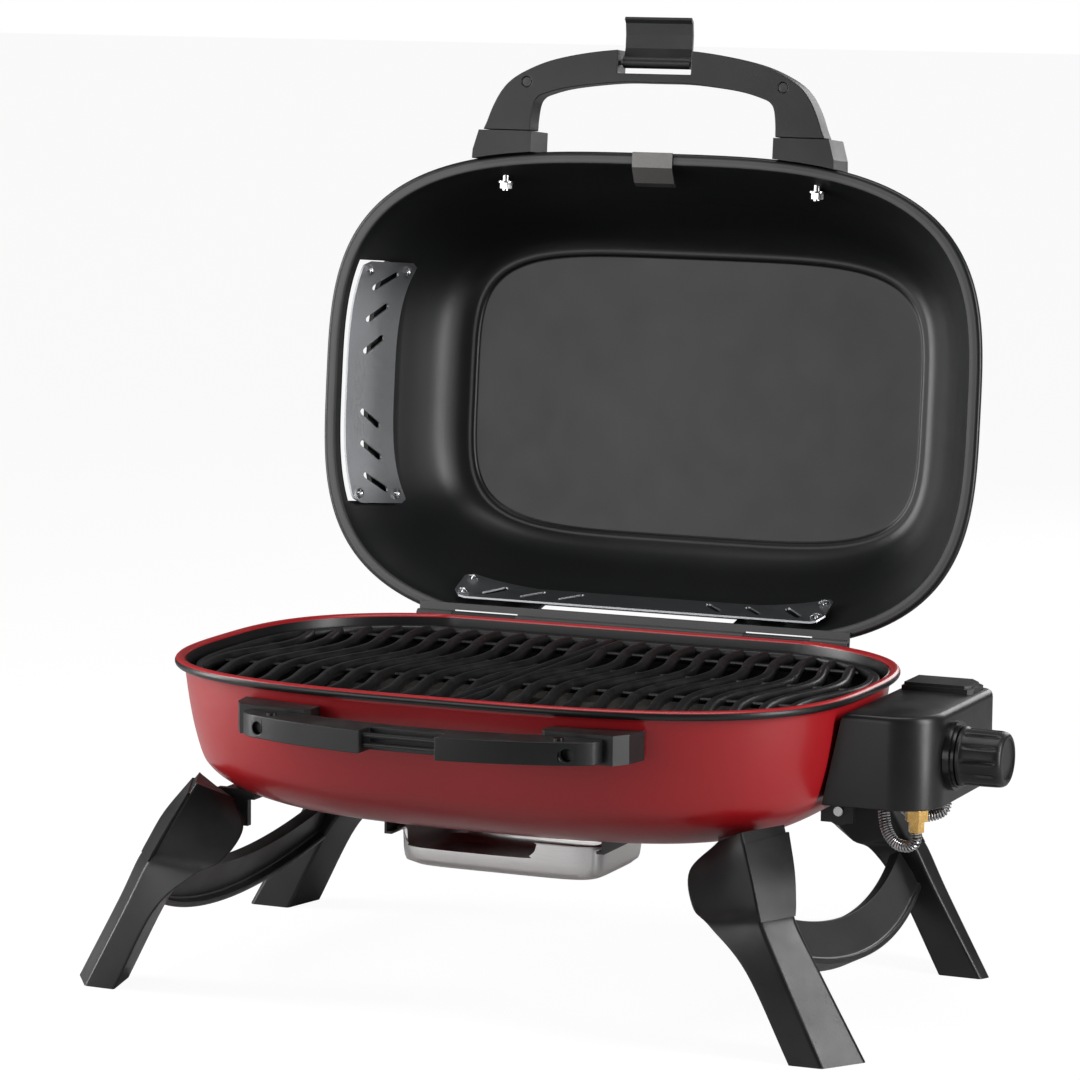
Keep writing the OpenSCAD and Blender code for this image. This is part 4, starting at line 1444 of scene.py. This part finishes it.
@dataclass
class LegFrame:
    """One folding frame: two moulded legs, their raised panels and the curved brace."""

    side: int
    middle: float
    rows: tuple[tuple[Row, ...], ...] = (
        ((288, -188, 0), (315.6, -187, 0), (339, -154, 0), (334, -144, 0), (298, -144, 0)),
        ((252, -187, 68), (280.5, -183, 68), (301, -156, 68), (295, -144, 68), (262, -144, 68)),
        ((219, -180, 99), (263.6, -181, 101), (282, -158, 104), (276, -144, 104),
         (238, -144, 99)),
        ((200, -168, 110), (257, -174, 115), (277, -146, 116), (270, -134, 116),
         (222, -138, 108)),
        ((190, -150, 134), (248, -165, 136), (270, -131, 138), (262, -121, 138),
         (207, -127, 133)),
        ((207, -134, 155), (233, -151, 168), (253, -106, 168), (249, -108, 165),
         (216, -127, 156)))
    cap_rows: tuple[tuple[Row, Row], ...] = (
        ((260.6, -179, 106), (279.5, -154, 108)), ((257, -175, 115), (277.2, -147, 117)),
        ((248, -165.5, 136), (270.2, -132, 138)), ((237, -154.5, 160), (256.5, -109, 163)))
    splay: float = 27.0
    brace_r: float = 436.0
    brace_at: tuple[float, float] = (287.0, 47.0)
    brace_turn: int = 20

    @staticmethod
    def rounded(ring: Sequence[Vector], reach: float) -> list[Row]:
        """Rounds a ring's corners and divides its sides.

        Args:
            ring: The ring's corners.
            reach: How far from a corner its rounding starts.

        Returns:
            The rounded ring.
        """
        out = []
        for i, corner in enumerate(ring):
            back, ahead = ring[i - 1] - corner, ring[(i + 1) % len(ring)] - corner
            a = corner + back.normalized() * min(reach, back.length * 0.4)
            b = corner + ahead.normalized() * min(reach, ahead.length * 0.4)
            for k in range(5):
                t = k / 4
                out.append(tuple((1 - t) ** 2 * a + 2 * t * (1 - t) * corner + t * t * b))
            far = ring[(i + 1) % len(ring)]
            end = far - ahead.normalized() * min(reach, ahead.length * 0.4)
            out += [tuple(b.lerp(end, k / 4)) for k in range(1, 4)]
        return out

    def skinned(self, rows: Sequence[Sequence[Row]], reach: float, steps: int) -> list[list[Row]]:
        """Smooth rings through rows of corners."""
        lines = [smooth_line([row[c] for row in rows], steps) for c in range(len(rows[0]))]
        return [self.rounded([Vector(line[i]) for line in lines], reach)
                for i in range(len(lines[0]))]

    def brace(self) -> list[list[Row]]:
        """Draws the curved band between the legs, with its stiffening lip.

        Returns:
            The band's rings.
        """
        shape = [(400, -4), (400.8, -5), (430, -5), (431, -6), (431, -12), (432, -13),
                 (435, -13), (436, -12), (436, 6), (435, 7), (432, 7), (431, 5.6), (430, 5),
                 (400.8, 5), (400, 4)]
        turn, rings = math.radians(self.splay), []
        foot_x, foot_z = self.brace_at
        for degrees in range(-self.brace_turn, self.brace_turn + 1):
            t = math.radians(degrees)
            ring = []
            for r, w in shape:
                v = self.brace_r - r * math.cos(t)
                ring.append((foot_x + w * math.cos(turn) - v * math.sin(turn),
                             r * math.sin(t),
                             foot_z + w * math.sin(turn) + v * math.cos(turn)))
            rings.append(ring)
        return rings

    def shifted(self, form: Form) -> Form:
        """The form on this frame's side, in its place."""
        form.points = [(self.side * x, y + self.middle, z) for x, y, z in form.points]
        return form

    def build(self) -> None:
        """Makes the frame and its raised panels."""
        leg, cap = Form(), Form()
        panel = [((r[0][0] + 1, r[0][1] - 1.2, r[0][2] + 0.4),
                  (r[1][0] + 1.3, r[1][1] - 0.8, r[1][2] + 0.4),
                  (r[1][0] - 2, r[1][1] + 1, r[1][2] - 0.4),
                  (r[0][0] - 0.6, r[0][1] + 2, r[0][2] - 0.4)) for r in self.cap_rows]
        for way in (1, -1):
            for form, rings in ((leg, self.skinned(self.rows, 2.6, 8)),
                                (cap, self.skinned(panel, 0.7, 5))):
                form.loft([[(x, way * y, z) for x, y, z in ring] for ring in rings])
        leg.loft(self.brace())
        name = "right" if self.side > 0 else "left"
        self.shifted(leg).piece(name + "_legs_moulded", name + "_legs", (LEG,),
                                stands_for=(name + "_leg_frame",), edge=1.0, sharp=42)
        self.shifted(cap).piece(name + "_leg_panels", name + "_legs", (LEG,),
                                stands_for=(name + "_leg_caps",), edge=0.4, sharp=42)


# ----------------------------------------------------------------- fittings


@dataclass
class Fittings:
    """The remaining CAD pieces: finish and edge width for each."""

    coats: dict[str, tuple[Finish, float]] = field(default_factory=lambda: {
        "hinge_leaf_base": (BLACK_STEEL, 0.5), "hinge_rod": (BRIGHT, 0.4),
        "hinge_leaf_lid": (BAND, 0.5), "base_shoes": (GRIP, 1.8),
        "base_rods": (GRIP, 0.5), "base_screws": (DARK_SCREW, 0.5),
        "box_cap": (BOX, 1.2), "box_bracket": (BLACK_STEEL, 0.4), "knob_bezel": (BEZEL, 0.9),
        "valve_body": (ALLOY, 0.8), "gas_nuts": (BRASS, 0.5), "burner_outer": (BURNER, 0.3),
        "burner_inner": (BURNER, 0.3), "burner_posts": (BURNER, 0.5),
        # The sear plates' dark colour is painted shade.
        "sear_plates": (SEAR_IN_PAINTED_SHADE, 0.4), "igniters": (GLAZE, 0.3),
        "leg_brackets": (BLACK_STEEL, 0.6), "leg_pins": (BRIGHT, 0.6),
        "tray_rails": (BLACK_STEEL, 0.4),
        "valve_stem": (BRIGHT, 0.4), "lid_shoes": (GRIP, 1.8),
        "lid_bolts": (BRIGHT, 0.5), "lid_screws": (DARK_SCREW, 0.3), "rim_clip": (CLIP, 0.3),
        "latch_pin": (BRIGHT, 0.4), "lid_latch": (GRIP, 0.9)})

    def build(self) -> None:
        """Gives every piece its finish."""
        for node, (finish, edge) in self.coats.items():
            dress(node, finish, edge)


# ------------------------------------------------------------ camera and light


@dataclass
class Studio:
    """Pale floor, soft lights and the camera."""

    camera_at: Row = (1405.4, -3241.4, 843.5)
    yaw: float = 23.41
    pitch: float = 7.76
    roll: float = 0.57
    lens: float = 146.867

    def build(self) -> None:
        """Makes the camera, floor, sky and lights."""
        bpy.context.scene.view_settings.view_transform = "Standard"
        self.camera()
        self.floor()
        self.sky()
        self.light("left strip", (-1.7, -0.5, 0.7), (0.0, 0.0, 0.25), 0.5, 1.7, 30)
        self.light("right strip", (1.9, -0.3, 0.7), (0.0, 0.0, 0.25), 0.45, 1.6, 30)
        self.light("top panel", (0.1, -0.2, 2.2), (0.0, 0.1, 0.2), 1.6, 1.0, 14)
        self.light("rear soft", (0.5, 2.8, 1.2), (0.0, 0.3, 0.4), 1.6, 1.2, 22)
        self.light("front left", (-1.6, -3.2, 0.7), (0.0, 0.0, 0.3), 1.8, 1.4, 26)

    def camera(self) -> None:
        """Sets the camera at its viewing angle."""
        yaw, pitch, roll = (math.radians(a) for a in (self.yaw, self.pitch, self.roll))
        ahead = Vector((-math.sin(yaw) * math.cos(pitch), math.cos(yaw) * math.cos(pitch),
                        -math.sin(pitch)))
        right = Vector((math.cos(yaw), math.sin(yaw), 0.0))
        up = right.cross(ahead)
        side = right * math.cos(roll) + up * math.sin(roll)
        top = up * math.cos(roll) - right * math.sin(roll)
        lens = bpy.data.cameras.new("view")
        lens.sensor_width, lens.lens, lens.clip_end = 36.0, self.lens, 50.0
        eye = bpy.data.objects.new("view", lens)
        eye.matrix_world = Matrix.Translation(to_row(self.camera_at)) @ Matrix(
            (side, top, -ahead)).transposed().to_4x4()
        bpy.context.scene.collection.objects.link(eye)
        bpy.context.scene.camera = eye

    def floor(self) -> None:
        """A wide pale floor."""
        mesh = bpy.data.meshes.new("floor")
        mesh.from_pydata([(-30, -30, 0), (30, -30, 0), (30, 30, 0), (-30, 30, 0)], [],
                         [(0, 1, 2, 3)])
        ground = bpy.data.objects.new("floor", mesh)
        bpy.context.scene.collection.objects.link(ground)
        paint = bpy.data.materials.new("pale floor")
        paint.use_nodes = True
        bench = Bench(paint.node_tree)
        path = bench.add("ShaderNodeLightPath")
        seen, mirrored = path.outputs["Is Camera Ray"], path.outputs["Is Glossy Ray"]
        tone = bench.blend(mirrored, (0.16, 0.16, 0.16, 1.0), (0.6, 0.6, 0.6, 1.0))
        tone = bench.blend(seen, tone, (0.10, 0.10, 0.10, 1.0))
        cover = bench.add("ShaderNodeBsdfDiffuse", {"Color": tone})
        glow = bench.add("ShaderNodeEmission", {"Color": (1, 1, 1, 1),
                                                "Strength": bench.math("MULTIPLY", seen, 0.94)})
        both = bench.add("ShaderNodeAddShader", {0: cover.outputs[0], 1: glow.outputs[0]})
        bench.add("ShaderNodeOutputMaterial", {"Surface": both.outputs[0]})
        mesh.materials.append(paint)

    def sky(self) -> None:
        """White surroundings that light the object only softly."""
        world = bpy.data.worlds.new("studio")
        bpy.context.scene.world = world
        world.use_nodes = True
        bench = Bench(world.node_tree)
        seen = bench.add("ShaderNodeLightPath").outputs["Is Camera Ray"]
        level = bench.add("ShaderNodeMapRange", {0: seen, 3: 0.09, 4: 1.0}).outputs[0]
        glow = bench.add("ShaderNodeBackground", {"Color": (1, 1, 1, 1), "Strength": level})
        bench.add("ShaderNodeOutputWorld", {"Surface": glow.outputs[0]})

    @staticmethod
    def light(name: str, at: Row, aim: Row, wide: float, high: float, power: float) -> None:
        """Adds one soft panel light.

        Args:
            name: The light's name.
            at: Its place in metres.
            aim: The point that it looks at.
            wide: Width in metres.
            high: Height in metres.
            power: Power in watts.
        """
        lamp = bpy.data.lights.new(name, "AREA")
        lamp.shape, lamp.size, lamp.size_y, lamp.energy = "RECTANGLE", wide, high, power
        stand = bpy.data.objects.new(name, lamp)
        stand.location = at
        stand.rotation_euler = (Vector(aim) - Vector(at)).to_track_quat("-Z", "Y").to_euler()
        bpy.context.scene.collection.objects.link(stand)


# ---------------------------------------------------------------------- main


ROUTE_A = ((327, 0, 151), (327, 0, 146), (325, 0, 141.5), (319, 0.5, 138.5), (311, 1.5, 139.5),
           (305, 3, 144), (300.5, 5, 151), (298, 7, 159), (296.5, 9.5, 167), (296.5, 12, 176),
           (297, 13.5, 185), (297, 14, 192), (295.5, 14, 197), (291, 14, 200), (286, 14, 200))
ROUTE_B = ((334, 52, 170), (334, 52, 165), (333, 50, 160.5), (329, 45.5, 157.5),
           (322, 41, 156), (314, 38, 156.5), (307, 37, 159.5), (302, 37.5, 164),
           (299, 39, 170.5), (298, 41, 178), (298, 43, 186), (297.5, 44, 192),
           (295.5, 44, 197), (291, 44, 200), (286, 44, 200))


def main() -> None:
    """Builds every sub-assembly in order."""
    logging.basicConfig(level=logging.INFO, format="%(name)s: %(message)s")
    lid = Lid()
    parts = (Cookbox(), lid, VentPlates(lid), CookingGrids(), GasLine("gas_line_a", ROUTE_A),
             GasLine("gas_line_b", ROUTE_B), Handles(), ControlBox(), Knob(), DripTray(),
             LegFrame(-1, 1.0), LegFrame(1, 9.0), Fittings(), Studio())
    for part in parts:
        part.build()
        LOG.info("%s done", type(part).__name__)


if __name__ == "__main__":
    main()
